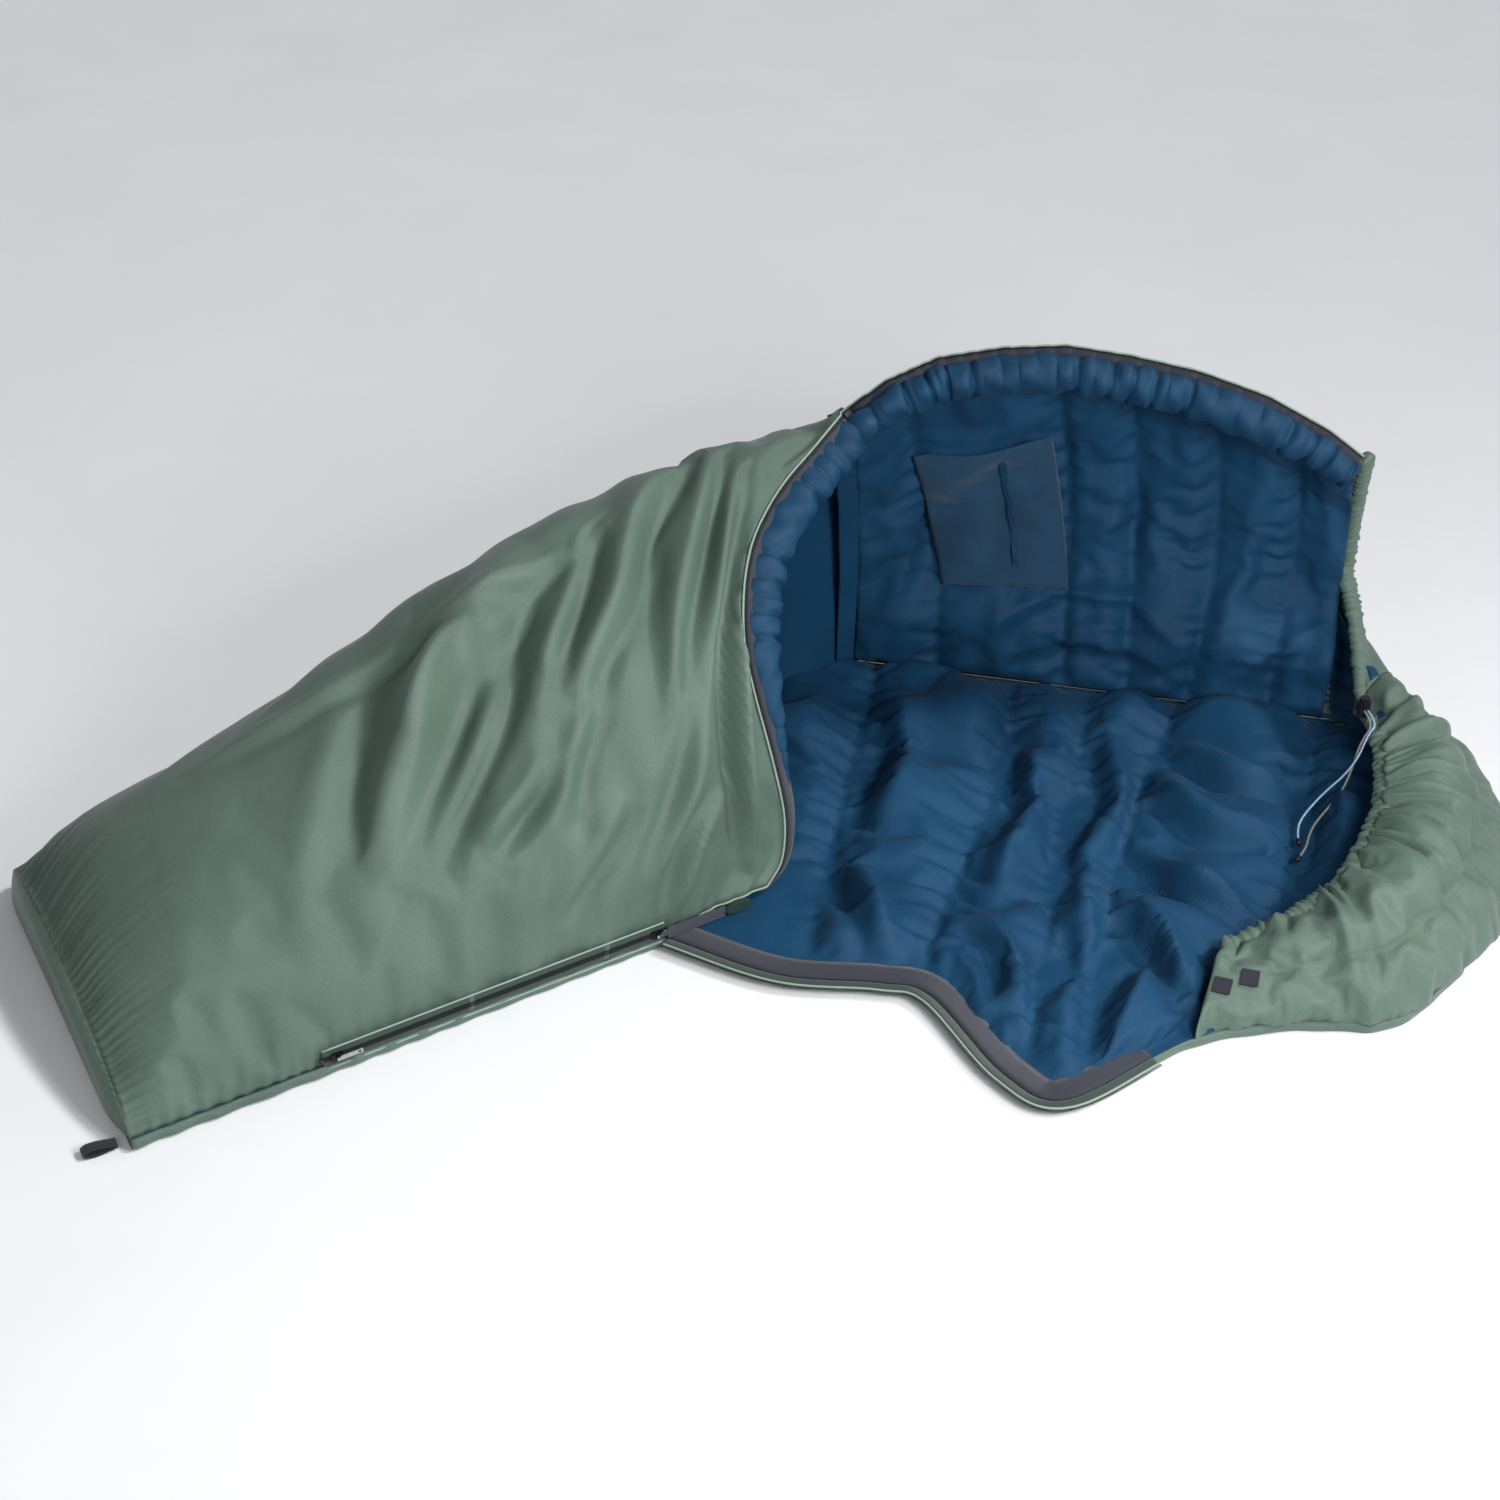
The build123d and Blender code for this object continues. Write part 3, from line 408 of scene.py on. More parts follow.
def resample(points, count):
    """count points evenly spaced along a run of points."""
    points = np.array([tuple(p) for p in points])
    steps = np.linalg.norm(np.diff(points, axis=0), axis=1)
    at = np.concatenate([[0], np.cumsum(steps)])
    want = np.linspace(0, at[-1], count)
    return np.stack([np.interp(want, at, points[:, k]) for k in range(3)], axis=1)


def smooth_line(points, count):
    """A smooth curve through points, evenly spaced: each run is a cubic between its ends."""
    points = np.array([tuple(p) for p in points], float)
    slopes = np.gradient(points, axis=0)
    fine = []
    for a, b, sa, sb in zip(points, points[1:], slopes, slopes[1:]):
        for t in np.linspace(0, 1, 16, endpoint=False):
            fine.append(a * (2 * t ** 3 - 3 * t ** 2 + 1) + sa * (t ** 3 - 2 * t ** 2 + t)
                        + b * (3 * t ** 2 - 2 * t ** 3) + sb * (t ** 3 - t ** 2))
    fine.append(points[-1])
    return resample(fine, count)


def ease(value, low, high):
    t = np.clip((value - low) / (high - low), 0, 1)
    return t * t * (3 - 2 * t)


def relax(places, times, keep_rows=(), keep_cols=()):
    """Smooths a grid of points, with its border and the given rows and columns held."""
    places = places.copy()
    held = np.zeros(places.shape[:2], bool)
    held[[0, -1], :] = True
    held[:, [0, -1]] = True
    for row in keep_rows:
        held[row, :] = True
    for col in keep_cols:
        held[:, col] = True
    for _ in range(times):
        new = places.copy()
        new[1:-1, 1:-1] = (places[:-2, 1:-1] + places[2:, 1:-1] + places[1:-1, :-2] + places[1:-1, 2:]) / 4
        new[held] = places[held]
        places = new
    return places


def normals_of(places):
    """Unit normals of a grid, to the side that columns turned left from rows face."""
    down = np.gradient(places, axis=0)
    over = np.gradient(places, axis=1)
    n = np.cross(over, down)
    return n / np.maximum(np.linalg.norm(n, axis=2, keepdims=True), 1e-9)


def swell(a, b, seed, count=7):
    """Smooth seeded unevenness about zero: waves in several directions over a and b."""
    draw = random.Random(seed)
    total = 0
    for _ in range(count):
        turn = draw.uniform(0, math.pi)
        pitch = draw.uniform(0.6, 1.7)
        total = total + np.sin(2 * math.pi * pitch * (a * math.cos(turn) + b * math.sin(turn))
                               + draw.uniform(0, 6.28))
    return total / math.sqrt(count)


def stroke(places, points, width, height, count=40):
    """Height of a long crease beside a run of points: a ridge with a softer hollow along one side."""
    line = smooth_line(points, count)
    best = np.full(places.shape[:2], 1e9)
    share = np.zeros(places.shape[:2])
    side = np.zeros(places.shape[:2])
    normals = normals_of(places)
    for k in range(count - 1):
        a, b = line[k], line[k + 1]
        run = b - a
        t = np.clip(((places - a) @ run) / (run @ run), 0, 1)
        away = places - (a + t[..., None] * run)
        gap = np.linalg.norm(away, axis=2)
        closer = gap < best
        best[closer] = gap[closer]
        share[closer] = ((k + t) / (count - 1))[closer]
        across = np.cross(normals, run)
        sign = np.sign(np.sum(across * away, axis=2))
        side[closer] = sign[closer]
    taper = np.clip(np.sin(np.pi * np.clip(share, 0.02, 0.98)), 0, 1) ** 0.7
    ridge = np.exp(-(best / width) ** 2)
    hollow = np.exp(-((best * side - 1.5 * width) / (1.1 * width)) ** 2)
    return height * taper * (ridge - 0.85 * hollow)


def puckers(places, seams, seed, height):
    """Short folds that cross each seam where its thread draws the cloth up."""
    draw = random.Random(seed)
    total = np.zeros(places.shape[:2])
    for seam in seams:
        line = smooth_line(seam, 60)
        at = draw.uniform(1, 4)
        while at < 56:
            spot, run = line[int(at)], line[int(at) + 2] - line[int(at)]
            side = np.cross(run, (0.3, -0.5, 0.8))
            side /= np.linalg.norm(side)
            reach = draw.uniform(0.035, 0.085)
            drift = run / np.linalg.norm(run) * draw.uniform(-0.03, 0.03)
            ends = [spot - side * reach - drift, spot + side * 0.004,
                    spot + side * reach * draw.uniform(0.5, 1)]
            total += stroke(places, ends, draw.uniform(0.007, 0.012), height * draw.uniform(0.6, 1.2),
                            count=9)
            at += draw.uniform(2.5, 6)
    return total


# ---------------------------------------------------------------- cloths on a grid
grids = {}


def cloth(name, places, material, body=None, slot=None, stands_for=(), fill=None):
    """A cloth of one face between each four points of places, mapped in metres."""
    rows, cols = places.shape[:2]
    deselect()
    bpy.ops.mesh.primitive_grid_add(x_subdivisions=cols - 1, y_subdivisions=rows - 1, size=1)
    piece = bpy.context.object
    piece.name = name
    mesh = piece.data
    mesh.name = name
    at = np.empty(len(mesh.vertices) * 3)
    mesh.vertices.foreach_get("co", at)
    at = at.reshape(-1, 3)
    col = np.rint((at[:, 0] + 0.5) * (cols - 1)).astype(int)
    row = np.rint((at[:, 1] + 0.5) * (rows - 1)).astype(int)
    grids[name] = (row, col)
    place(piece, places)
    length = np.linalg.norm(np.diff(places, axis=0), axis=2).sum(axis=0).mean()
    width = np.linalg.norm(np.diff(places, axis=1), axis=2).sum(axis=1).mean()
    layer = mesh.uv_layers.active.data
    uv = np.empty(len(layer) * 2)
    layer.foreach_get("uv", uv)
    uv = uv.reshape(-1, 2) * (width, length)
    layer.foreach_set("uv", uv.ravel())
    mesh.polygons.foreach_set("use_smooth", [True] * len(mesh.polygons))
    dress(piece, material)
    if body:
        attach(piece, body)
    if stands_for:
        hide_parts(*stands_for)
    return piece


def place(piece, places):
    row, col = grids[piece.name]
    piece.data.vertices.foreach_set("co", places[row, col].ravel())
    piece.data.update()


def mark(piece, name, values):
    """A number at each point of the cloth, for its material."""
    row, col = grids[piece.name]
    layer = piece.data.attributes.new(name, "FLOAT", "POINT")
    layer.data.foreach_set("value", values[row, col].astype(np.float32))


def puff(piece, places, pins, grow=0.03, pressure=1.5, stiff=1.0, cap=0.02, frames=16):
    """Lets a cloth that is cut a little too large buckle between its pinned seams."""
    row, col = grids[piece.name]
    group = piece.vertex_groups.new(name="pins")
    group.add([int(i) for i in np.nonzero(pins[row, col])[0]], 1.0, "REPLACE")
    simulated = piece.modifiers.new("buckle", "CLOTH")
    settings = simulated.settings
    settings.quality = 5
    settings.mass = 0.2
    settings.tension_stiffness = settings.compression_stiffness = 12
    settings.shear_stiffness = 6
    settings.bending_stiffness = stiff
    settings.vertex_group_mass = "pins"
    settings.shrink_min = -grow
    settings.use_pressure = pressure != 0
    settings.uniform_pressure_force = pressure
    settings.effector_weights.gravity = 0
    simulated.collision_settings.use_collision = False
    simulated.point_cache.frame_start = 1
    simulated.point_cache.frame_end = frames
    scene = bpy.context.scene
    for step in range(1, frames + 1):
        scene.frame_set(step)
    seen = piece.evaluated_get(bpy.context.evaluated_depsgraph_get())
    at = np.empty(len(seen.data.vertices) * 3)
    seen.data.vertices.foreach_get("co", at)
    moved = np.empty(places.shape)
    moved[row, col] = at.reshape(-1, 3)
    piece.modifiers.remove(simulated)
    piece.vertex_groups.clear()
    scene.frame_set(1)
    shift = moved - places
    size = np.linalg.norm(shift, axis=2, keepdims=True)
    moved = places + shift * np.minimum(1, cap / np.maximum(size, 1e-9))
    place(piece, moved)
    return moved


def thicken(piece, thickness):
    """Gives a finished cloth its thickness, inwards."""
    only(piece)
    wall = piece.modifiers.new("thickness", "SOLIDIFY")
    wall.thickness = thickness
    wall.offset = -1
    bpy.ops.object.modifier_apply(modifier=wall.name)


def sleeve(name, centres, wide, thick, frames_of, cols, ripple=None, **facts):
    """A closed roll round a line of centres: wide and thick are its half sizes at each centre."""
    rows = len(centres)
    turn = np.linspace(0, 2 * np.pi, cols)
    out, up = frames_of
    places = np.empty((rows, cols, 3))
    for k in range(rows):
        bump = ripple(k / (rows - 1), turn) if ripple else 1.0
        across = np.cos(turn) * wide[k] * bump
        rise = np.sin(turn) * thick[k] * bump
        places[k] = centres[k] + across[:, None] * out[k] + rise[:, None] * up[k]
    piece = cloth(name, places, **facts)
    only(piece)
    bpy.ops.object.mode_set(mode="EDIT")
    bpy.ops.mesh.select_all(action="SELECT")
    bpy.ops.mesh.remove_doubles(threshold=0.00002)
    bpy.ops.mesh.select_all(action="DESELECT")
    bpy.ops.mesh.select_non_manifold(extend=False)
    bpy.ops.mesh.fill_holes(sides=0)
    bpy.ops.mesh.select_all(action="SELECT")
    bpy.ops.mesh.normals_make_consistent(inside=False)
    bpy.ops.object.mode_set(mode="OBJECT")
    return piece


# ---------------------------------------------------------------- leg tube
LEG_ROWS, LEG_COLS = 170, 150
MOUTH_EDGE = [              # the top layer's free edge, from the near corner up to the crest
    (0.002, -0.304, 0.040), (0.016, -0.276, 0.070), (0.014, -0.256, 0.130), (-0.004, -0.250, 0.215),
    (-0.037, -0.225, 0.313), (-0.059, -0.192, 0.370), (-0.070, -0.142, 0.420), (-0.072, -0.084, 0.458),
    (-0.063, -0.029, 0.484), (-0.047, 0.025, 0.505), (-0.023, 0.084, 0.524), (0.003, 0.165, 0.542),
]


def leg_near(share):
    return FOOT_NEAR.lerp(MOUTH_NEAR, share)


def leg_far(share):
    return FOOT_FAR.lerp(MOUTH_FAR, share)


def leg_profile(skin, share, count, inside=False):
    """Points over the leg at one station, from its near edge to its far edge."""
    near, far = leg_near(share), leg_far(share)
    across = (far - near).normalized()
    middle = near.lerp(far, 0.6) + UP * PLY_FLOOR
    points = []
    for k in range(1, 110):
        angle = math.pi * k / 110
        way = -across * math.cos(angle) + UP * math.sin(angle)
        start = middle if inside else middle + way * 1.2
        hit = skin.ray_cast(start, way if inside else -way)[0]
        if hit:
            points.append(hit)
    points = [near + UP * PLY_FLOOR] + points + [far + UP * PLY_FLOOR]
    return resample(points, count)


def leg_places(skin, inside=False):
    shares = np.linspace(0.001, 0.998, LEG_ROWS)
    whole = np.stack([leg_profile(skin, s, LEG_COLS, inside) for s in shares])
    return relax(whole, 30)


leg_tree = tree("leg_top_shell")
leg_whole = leg_places(leg_tree)
crest_col = int(np.argmin(np.linalg.norm(leg_whole[-1] - np.array(MOUTH_EDGE[-1]), axis=1)))
edge_line = smooth_line(MOUTH_EDGE, crest_col + 1)


def cut_to_mouth(whole):
    """Ends each lengthwise line of the leg on the mouth's edge, and lets the cloth lead up to it."""
    out = np.empty_like(whole)
    rows = np.linspace(0, 1, LEG_ROWS)
    for col in range(LEG_COLS):
        line = whole[:, col]
        goal = edge_line[col] if col <= crest_col else line[-1]
        reach = int(np.argmin(np.linalg.norm(line - goal, axis=1)))
        end = reach / (LEG_ROWS - 1)
        cut = np.stack([np.interp(rows * end, rows, line[:, k]) for k in range(3)], axis=1)
        lead = ease(rows, 0.72, 1.0)[:, None]
        out[:, col] = cut + lead * (goal - cut[-1])
    return out


leg = cut_to_mouth(leg_whole)
leg = relax(leg, 6)
CREASE_DEPTH = 1.9
LEG_CREASES = [             # run of points, width, height
    ([(-0.068, -0.102, 0.445), (-0.065, -0.195, 0.373), (-0.048, -0.267, 0.269), (-0.017, -0.311, 0.085)],
     0.013, 0.016),
    ([(-0.182, 0.016, 0.532), (-0.202, -0.105, 0.491), (-0.198, -0.220, 0.429), (-0.215, -0.317, 0.369),
      (-0.226, -0.397, 0.300), (-0.223, -0.452, 0.224)], 0.020, -0.020),
    ([(-0.307, -0.182, 0.468), (-0.344, -0.278, 0.420), (-0.387, -0.397, 0.356), (-0.407, -0.544, 0.254),
      (-0.418, -0.613, 0.195)], 0.034, -0.024),
    ([(-0.135, 0.039, 0.539), (-0.128, -0.106, 0.472), (-0.127, -0.211, 0.405), (-0.117, -0.288, 0.325)],
     0.015, -0.010),
    ([(-0.097, 0.010, 0.517), (-0.088, -0.120, 0.444), (-0.081, -0.216, 0.366)], 0.012, -0.009),
    ([(-0.264, -0.155, 0.481), (-0.271, -0.255, 0.428), (-0.288, -0.349, 0.372)], 0.016, -0.010),
    ([(-0.240, -0.394, 0.312), (-0.269, -0.462, 0.258), (-0.318, -0.540, 0.206)], 0.017, -0.012),
    ([(-0.054, -0.309, 0.205), (-0.084, -0.361, 0.149), (-0.106, -0.403, 0.049)], 0.014, 0.010),
    ([(-0.394, -0.307, 0.407), (-0.415, -0.393, 0.357), (-0.426, -0.464, 0.315)], 0.018, -0.010),
    ([(-0.338, -0.309, 0.403), (-0.344, -0.436, 0.324), (-0.375, -0.576, 0.207)], 0.020, -0.012),
    ([(-0.153, -0.391, 0.225), (-0.192, -0.462, 0.153), (-0.233, -0.520, 0.088)], 0.018, -0.010),
    ([(-0.508, -0.403, 0.342), (-0.508, -0.537, 0.271), (-0.500, -0.653, 0.194)], 0.030, -0.008),
    ([(-0.195, -0.131, 0.476), (-0.202, -0.270, 0.398), (-0.242, -0.414, 0.293), (-0.284, -0.519, 0.197)],
     0.018, 0.012),
    ([(-0.743, -0.490, 0.249), (-0.619, -0.420, 0.311), (-0.500, -0.339, 0.375), (-0.385, -0.245, 0.437),
      (-0.270, -0.142, 0.488)], 0.014, 0.006),
    ([(-0.098, -0.275, 0.320), (-0.097, -0.337, 0.230), (-0.134, -0.420, 0.114)], 0.015, 0.009),
    ([(-0.080, 0.150, 0.545), (-0.170, 0.190, 0.520), (-0.280, 0.160, 0.470)], 0.020, 0.010),
    ([(-0.060, 0.230, 0.500), (-0.130, 0.290, 0.380), (-0.230, 0.250, 0.240)], 0.026, -0.014),
    ([(-0.220, 0.170, 0.460), (-0.330, 0.110, 0.330), (-0.420, 0.040, 0.180)], 0.028, -0.014),
    ([(-0.420, -0.010, 0.400), (-0.520, -0.060, 0.270), (-0.600, -0.100, 0.120)], 0.030, -0.012),
]
leg_normals = normals_of(leg)
if np.mean(leg_normals[LEG_ROWS // 2, LEG_COLS // 2, 2]) < 0:
    leg_normals = -leg_normals
row_share, col_share = np.meshgrid(np.linspace(0, 1, LEG_ROWS), np.linspace(0, 1, LEG_COLS), indexing="ij")
lift = np.zeros(leg.shape[:2])
for points, width, height in LEG_CREASES:
    lift += stroke(leg, points, width, height * CREASE_DEPTH)
lift += 0.0035 * swell(row_share * 9, col_share * 2.2, 3) * ease(row_share, 0.1, 0.9)
foot_gather = (np.exp(-row_share / 0.045)
               * (0.5 + 0.5 * np.sin(col_share * 330 + 2 * np.sin(col_share * 41))))
lift -= 0.0075 * foot_gather
near_gather = (np.exp(-col_share / 0.02)
               * (0.5 + 0.5 * np.sin(row_share * 260 + 2.5 * np.sin(row_share * 23))))
lift -= 0.0035 * near_gather
edge_fade = np.minimum(1, np.minimum(row_share, 1 - row_share) / 0.012 + 0.2)
leg = leg + leg_normals * (lift * edge_fade)[..., None]
leg_pins = np.zeros(leg.shape[:2], bool)
leg_pins[[0, -1], :] = True
leg_pins[:, [0, -1]] = True
leg_skin = cloth("leg_skin", leg[:, ::-1], shell_cloth, slot="shell_fabric",
                 stands_for=plies("leg_top_shell", "leg_top_fill"))
leg = puff(leg_skin, leg[:, ::-1], leg_pins[:, ::-1], grow=0.012, pressure=0.6, stiff=6, cap=0.010)[:, ::-1]
thicken(leg_skin, 0.0012)
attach(leg_skin, "root")
inside_gap = 0.016 + 0.026 * ease(1 - row_share, 0.0, 0.10)
leg_inside = relax((leg - leg_normals * inside_gap[..., None])[::2, ::2], 8)
leg_inside[..., 2] = np.maximum(leg_inside[..., 2], PLY_FLOOR + 0.001)
leg_lining = cloth("leg_inside", leg_inside, lining_plain, "root", "lining_fabric", ("leg_top_lining",))
thicken(leg_lining, 0.001)

# ---------------------------------------------------------------- raised top layer
FLAP_ROWS, FLAP_COLS = 112, 96
FLAP_FROM, FLAP_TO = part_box("flap_shell")[0].x + 0.001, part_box("flap_shell")[1].x - 0.001


def flap_profile(skin, x, count, inside):
    """Points of the raised layer at one station, from its fold to its free edge."""
    middle = Vector((x, 0.12, 0.25))
    points = []
    for k in range(260):
        angle = math.radians(-62 + k * 0.6)
        way = Vector((0, math.cos(angle), math.sin(angle)))
        start = middle if inside else middle + way * 1.0
        hit = skin.ray_cast(start, way if inside else -way)[0]
        if hit:
            points.append(hit)
        elif points:
            break
    return resample(points, count)


def flap_places(node, inside):
    skin = tree(node)
    stations = np.linspace(FLAP_FROM, FLAP_TO, FLAP_ROWS)
    return relax(np.stack([flap_profile(skin, x, FLAP_COLS, inside) for x in stations]), 24)


flap_out = flap_places("flap_shell", False)
flap_in = flap_places("flap_lining", True)
FLAP_SEAMS = [              # seam lines on the lining: x at the free edge, middle and fold
    (0.067, 0.110, 0.139), (0.279, 0.318, 0.342), (0.388, 0.420, 0.438), (0.500, 0.548, 0.531),
    (0.640, 0.668, 0.655),
]
f_row, f_col = np.meshgrid(np.linspace(0, 1, FLAP_ROWS), np.linspace(0, 1, FLAP_COLS), indexing="ij")


def seam_gap(x, share, seams):
    """Signed distance along x to the nearest seam, at a share of the way from fold to edge."""
    gaps = []
    turn = 1
    for edge, middle, fold in seams:
        line = (fold * (1 - share) * (1 - 2 * share) + 4 * middle * share * (1 - share)
                + edge * share * (2 * share - 1))
        gaps.append((x - line) * turn)
        turn = -turn
    gaps = np.stack(gaps)
    nearest = np.argmin(np.abs(gaps), axis=0)
    return np.take_along_axis(gaps, nearest[None], axis=0)[0]


def inward(places, toward):
    """Grid normals on the side of a point."""
    n = normals_of(places)
    middle = places.reshape(-1, 3).mean(axis=0)
    if np.mean(np.sum(n * (np.array(toward) - middle), axis=2)) < 0:
        n = -n
    return n


flap_gap = seam_gap(flap_in[..., 0], f_col, FLAP_SEAMS)
flap_n = inward(flap_in, (0.3, -0.4, 0.3))
billow = 0.026 * (1 - np.exp(-np.abs(flap_gap) / 0.026)) - 0.008
billow += 0.0040 * swell(f_row * 8, f_col * 3, 11)
FLAP_CREASES = [
    ([(0.135, 0.30, 0.16), (0.16, 0.36, 0.24), (0.20, 0.40, 0.36)], 0.020, 0.016),
    ([(0.06, 0.31, 0.14), (0.09, 0.36, 0.28), (0.11, 0.36, 0.42)], 0.020, 0.016),
    ([(0.20, 0.35, 0.10), (0.30, 0.38, 0.16), (0.42, 0.38, 0.17), (0.52, 0.36, 0.12)], 0.017, 0.016),
    ([(0.24, 0.34, 0.06), (0.36, 0.36, 0.09), (0.50, 0.35, 0.07)], 0.014, 0.014),
    ([(0.36, 0.38, 0.22), (0.41, 0.40, 0.34), (0.40, 0.38, 0.46)], 0.018, 0.010),
    ([(0.56, 0.37, 0.12), (0.60, 0.39, 0.25), (0.60, 0.38, 0.40)], 0.020, 0.010),
    ([(0.60, 0.34, 0.05), (0.66, 0.36, 0.12), (0.72, 0.36, 0.16)], 0.016, 0.012),
    ([(0.03, 0.31, 0.30), (0.05, 0.33, 0.40), (0.06, 0.30, 0.50)], 0.016, 0.012),
]
for points, width, height in FLAP_CREASES:
    billow += stroke(flap_in, points, width, height)
BASE_ROLL = 0.042           # the filled cloth bulges over the fold
billow += BASE_ROLL * np.exp(-((f_col - 0.18) / 0.11) ** 2) * ease(f_row, 0.0, 0.2)
seam_rows = [[(edge * s + fold * (1 - s)) for s in (0.03, 0.5, 0.95)] for edge, middle, fold in FLAP_SEAMS]
seam_runs = []
for low, middle, high in seam_rows:
    rows = [int(np.interp(x, (FLAP_FROM, FLAP_TO), (0, FLAP_ROWS - 1))) for x in (low, middle, high)]
    seam_runs.append([flap_in[row, col] for row, col in zip(rows, (4, FLAP_COLS // 2, FLAP_COLS - 6))])
billow += puckers(flap_in, seam_runs, 61, 0.006)
hem_fade = ease(1 - f_col, 0.0, 0.05) * ease(f_col, 0.0, 0.03)
flap_face = flap_in + flap_n * (billow * hem_fade)[..., None]
flap_pins = ((np.abs(flap_gap) < 0.0045) | (f_col < 0.005) | (f_col > 0.99) | (f_row < 0.004)
             | (f_row > 0.996))
flap_lining = cloth("flap_lining_quilt", flap_face, lining_cloth, None, "lining_fabric", ("flap_lining",))


def face_toward(piece, point):
    """Turns the cloth's faces to look at a point."""
    mesh = piece.data
    mesh.update()
    total = 0.0
    for face in list(mesh.polygons)[::7]:
        total += face.normal.dot(Vector(point) - face.center)
    if total < 0:
        mesh.flip_normals()


face_toward(flap_lining, (0.3, -0.6, 0.4))
mark(flap_lining, "seam", flap_gap)
mark(flap_lining, "run", f_col * 0.62)
flap_face = puff(flap_lining, flap_face, flap_pins, grow=0.020, pressure=2.0, stiff=8, cap=0.014)
thicken(flap_lining, 0.001)

flap_n_out = -inward(flap_out, (0.3, -0.4, 0.3))
FLAP_BACK_CREASES = [
    ([(0.08, 0.36, 0.50), (0.12, 0.42, 0.34), (0.10, 0.38, 0.14)], 0.024, -0.014),
    ([(0.24, 0.38, 0.55), (0.28, 0.44, 0.34), (0.26, 0.38, 0.10)], 0.026, -0.012),
    ([(0.40, 0.40, 0.54), (0.46, 0.44, 0.32), (0.44, 0.38, 0.10)], 0.026, -0.012),
    ([(0.58, 0.38, 0.48), (0.62, 0.42, 0.30), (0.64, 0.38, 0.10)], 0.024, -0.012),
]
back_lift = 0.004 * swell(f_row * 9, f_col * 4, 21)
for points, width, height in FLAP_BACK_CREASES:
    back_lift += stroke(flap_out, points, width, height)
flap_back = flap_out + flap_n_out * (back_lift * hem_fade)[..., None]
flap_skin = cloth("flap_skin", flap_back, shell_cloth, None, "shell_fabric",
                  plies("flap_shell", "flap_fill"))
face_toward(flap_skin, (0.3, 2.0, 0.6))
back_pins = (f_col < 0.005) | (f_col > 0.99) | (f_row < 0.004) | (f_row > 0.996)
flap_back = puff(flap_skin, flap_back, back_pins, grow=0.02, pressure=1.0, stiff=5, cap=0.012)
thicken(flap_skin, 0.0012)



def bridge(name, edge, normals, far, off, material, slot):
    """Carries a cloth of the raised layer on past the mouth, beside the leg's own cloth."""
    shares = np.linspace(0, 1, 9)[:, None, None]
    places = edge[None] - np.array(tuple(LEG_AXIS)) * far * shares + normals[None] * off * shares
    piece = cloth(name, places, material, "root", slot)
    face_toward(piece, tuple(places[4, 48] + normals[48]))
    thicken(piece, 0.001)


bridge("mouth_lining_overlap", flap_face[0], -flap_n[0], 0.032, 0.005, lining_plain, "lining_fabric")
bridge("mouth_shell_overlap", flap_back[0], flap_n_out[0], 0.034, -0.002, shell_cloth, "shell_fabric")

# ---------------------------------------------------------------- outline on the floor
NEAR_EDGE = [(0.050, -0.463), (0.190, -0.449), (0.262, -0.460), (0.380, -0.592), (0.470, -0.620)]
HOOD_OUTLINE = [(-100, 0.455), (-82, 0.384), (-62, 0.390), (-38, 0.345)]
HOOD_FAR_OUTLINE = [(66, 0.375), (42, 0.355), (15, 0.333)]
FOLD_END = Vector((0.780, 0.330, 0))


def hood_spot(degrees, reach):
    turn = math.radians(degrees)
    return HOOD_CENTRE + Vector((math.cos(turn), math.sin(turn), 0)) * reach


flare = leg_near(FLARE_SHARE)
near_line = smooth_line([flare] + [Vector((x, y, 0)) for x, y in NEAR_EDGE]
                        + [hood_spot(*spot) for spot in HOOD_OUTLINE], 150)
near_line = np.concatenate([resample([FOOT_NEAR, flare], 101)[:-1], near_line])
far_line = np.concatenate([
    resample([FOOT_FAR, MOUTH_FAR], 101)[:-1], resample([MOUTH_FAR, FOLD_END], 91)[:-1],
    smooth_line([FOLD_END] + [hood_spot(*spot) for spot in HOOD_FAR_OUTLINE], 60),
])


# ---------------------------------------------------------------- hood
HOOD_ROWS, HOOD_COLS = 240, 56


def hood_profile(skin, angle, count, inside):
    """Points over the hood in one upright plane, from its rim out to the floor."""
    way = Vector((math.cos(angle), math.sin(angle), 0))
    points = []
    for k in range(320):
        reach = 0.12 + 0.0012 * k
        spot = HOOD_CENTRE + way * reach
        start = spot + UP * (0.012 if inside else 0.6)
        hit = skin.ray_cast(start, UP if inside else -UP)[0]
        if hit and (inside or hit.z > PLY_FLOOR):
            points.append(hit)
        elif points:
            break
    last = points[-1].copy()
    last.z = PLY_FLOOR
    points.append(last)
    return resample(points, count)


def hood_places(node, inside):
    skin = tree(node)
    angles = np.linspace(HOOD_FROM, HOOD_TO, HOOD_ROWS)
    return relax(np.stack([hood_profile(skin, a, HOOD_COLS, inside) for a in angles]), 10)


hood_out = hood_places("hood_shell", False)
hood_in = hood_places("hood_lining", True)


def end_on_outline(places):
    """Leads the lower rows of the hood's cloth out to the bag's outline."""
    outline = np.concatenate([near_line[100:], far_line[::-1][:60]]) - np.array(tuple(HOOD_CENTRE))
    turn = np.arctan2(outline[:, 1], outline[:, 0])
    order = np.argsort(turn)
    reach = np.hypot(outline[order, 0], outline[order, 1])
    angles = np.linspace(HOOD_FROM, HOOD_TO, HOOD_ROWS)
    ends = np.interp(angles, turn[order], reach)
    goal = np.stack([HOOD_CENTRE.x + np.cos(angles) * ends, HOOD_CENTRE.y + np.sin(angles) * ends,
                     np.full(HOOD_ROWS, 0.010)], axis=1)
    lead = ease(np.linspace(0, 1, HOOD_COLS), 0.72, 1.0)[None, :, None]
    return places + lead * (goal - places[:, -1])[:, None]


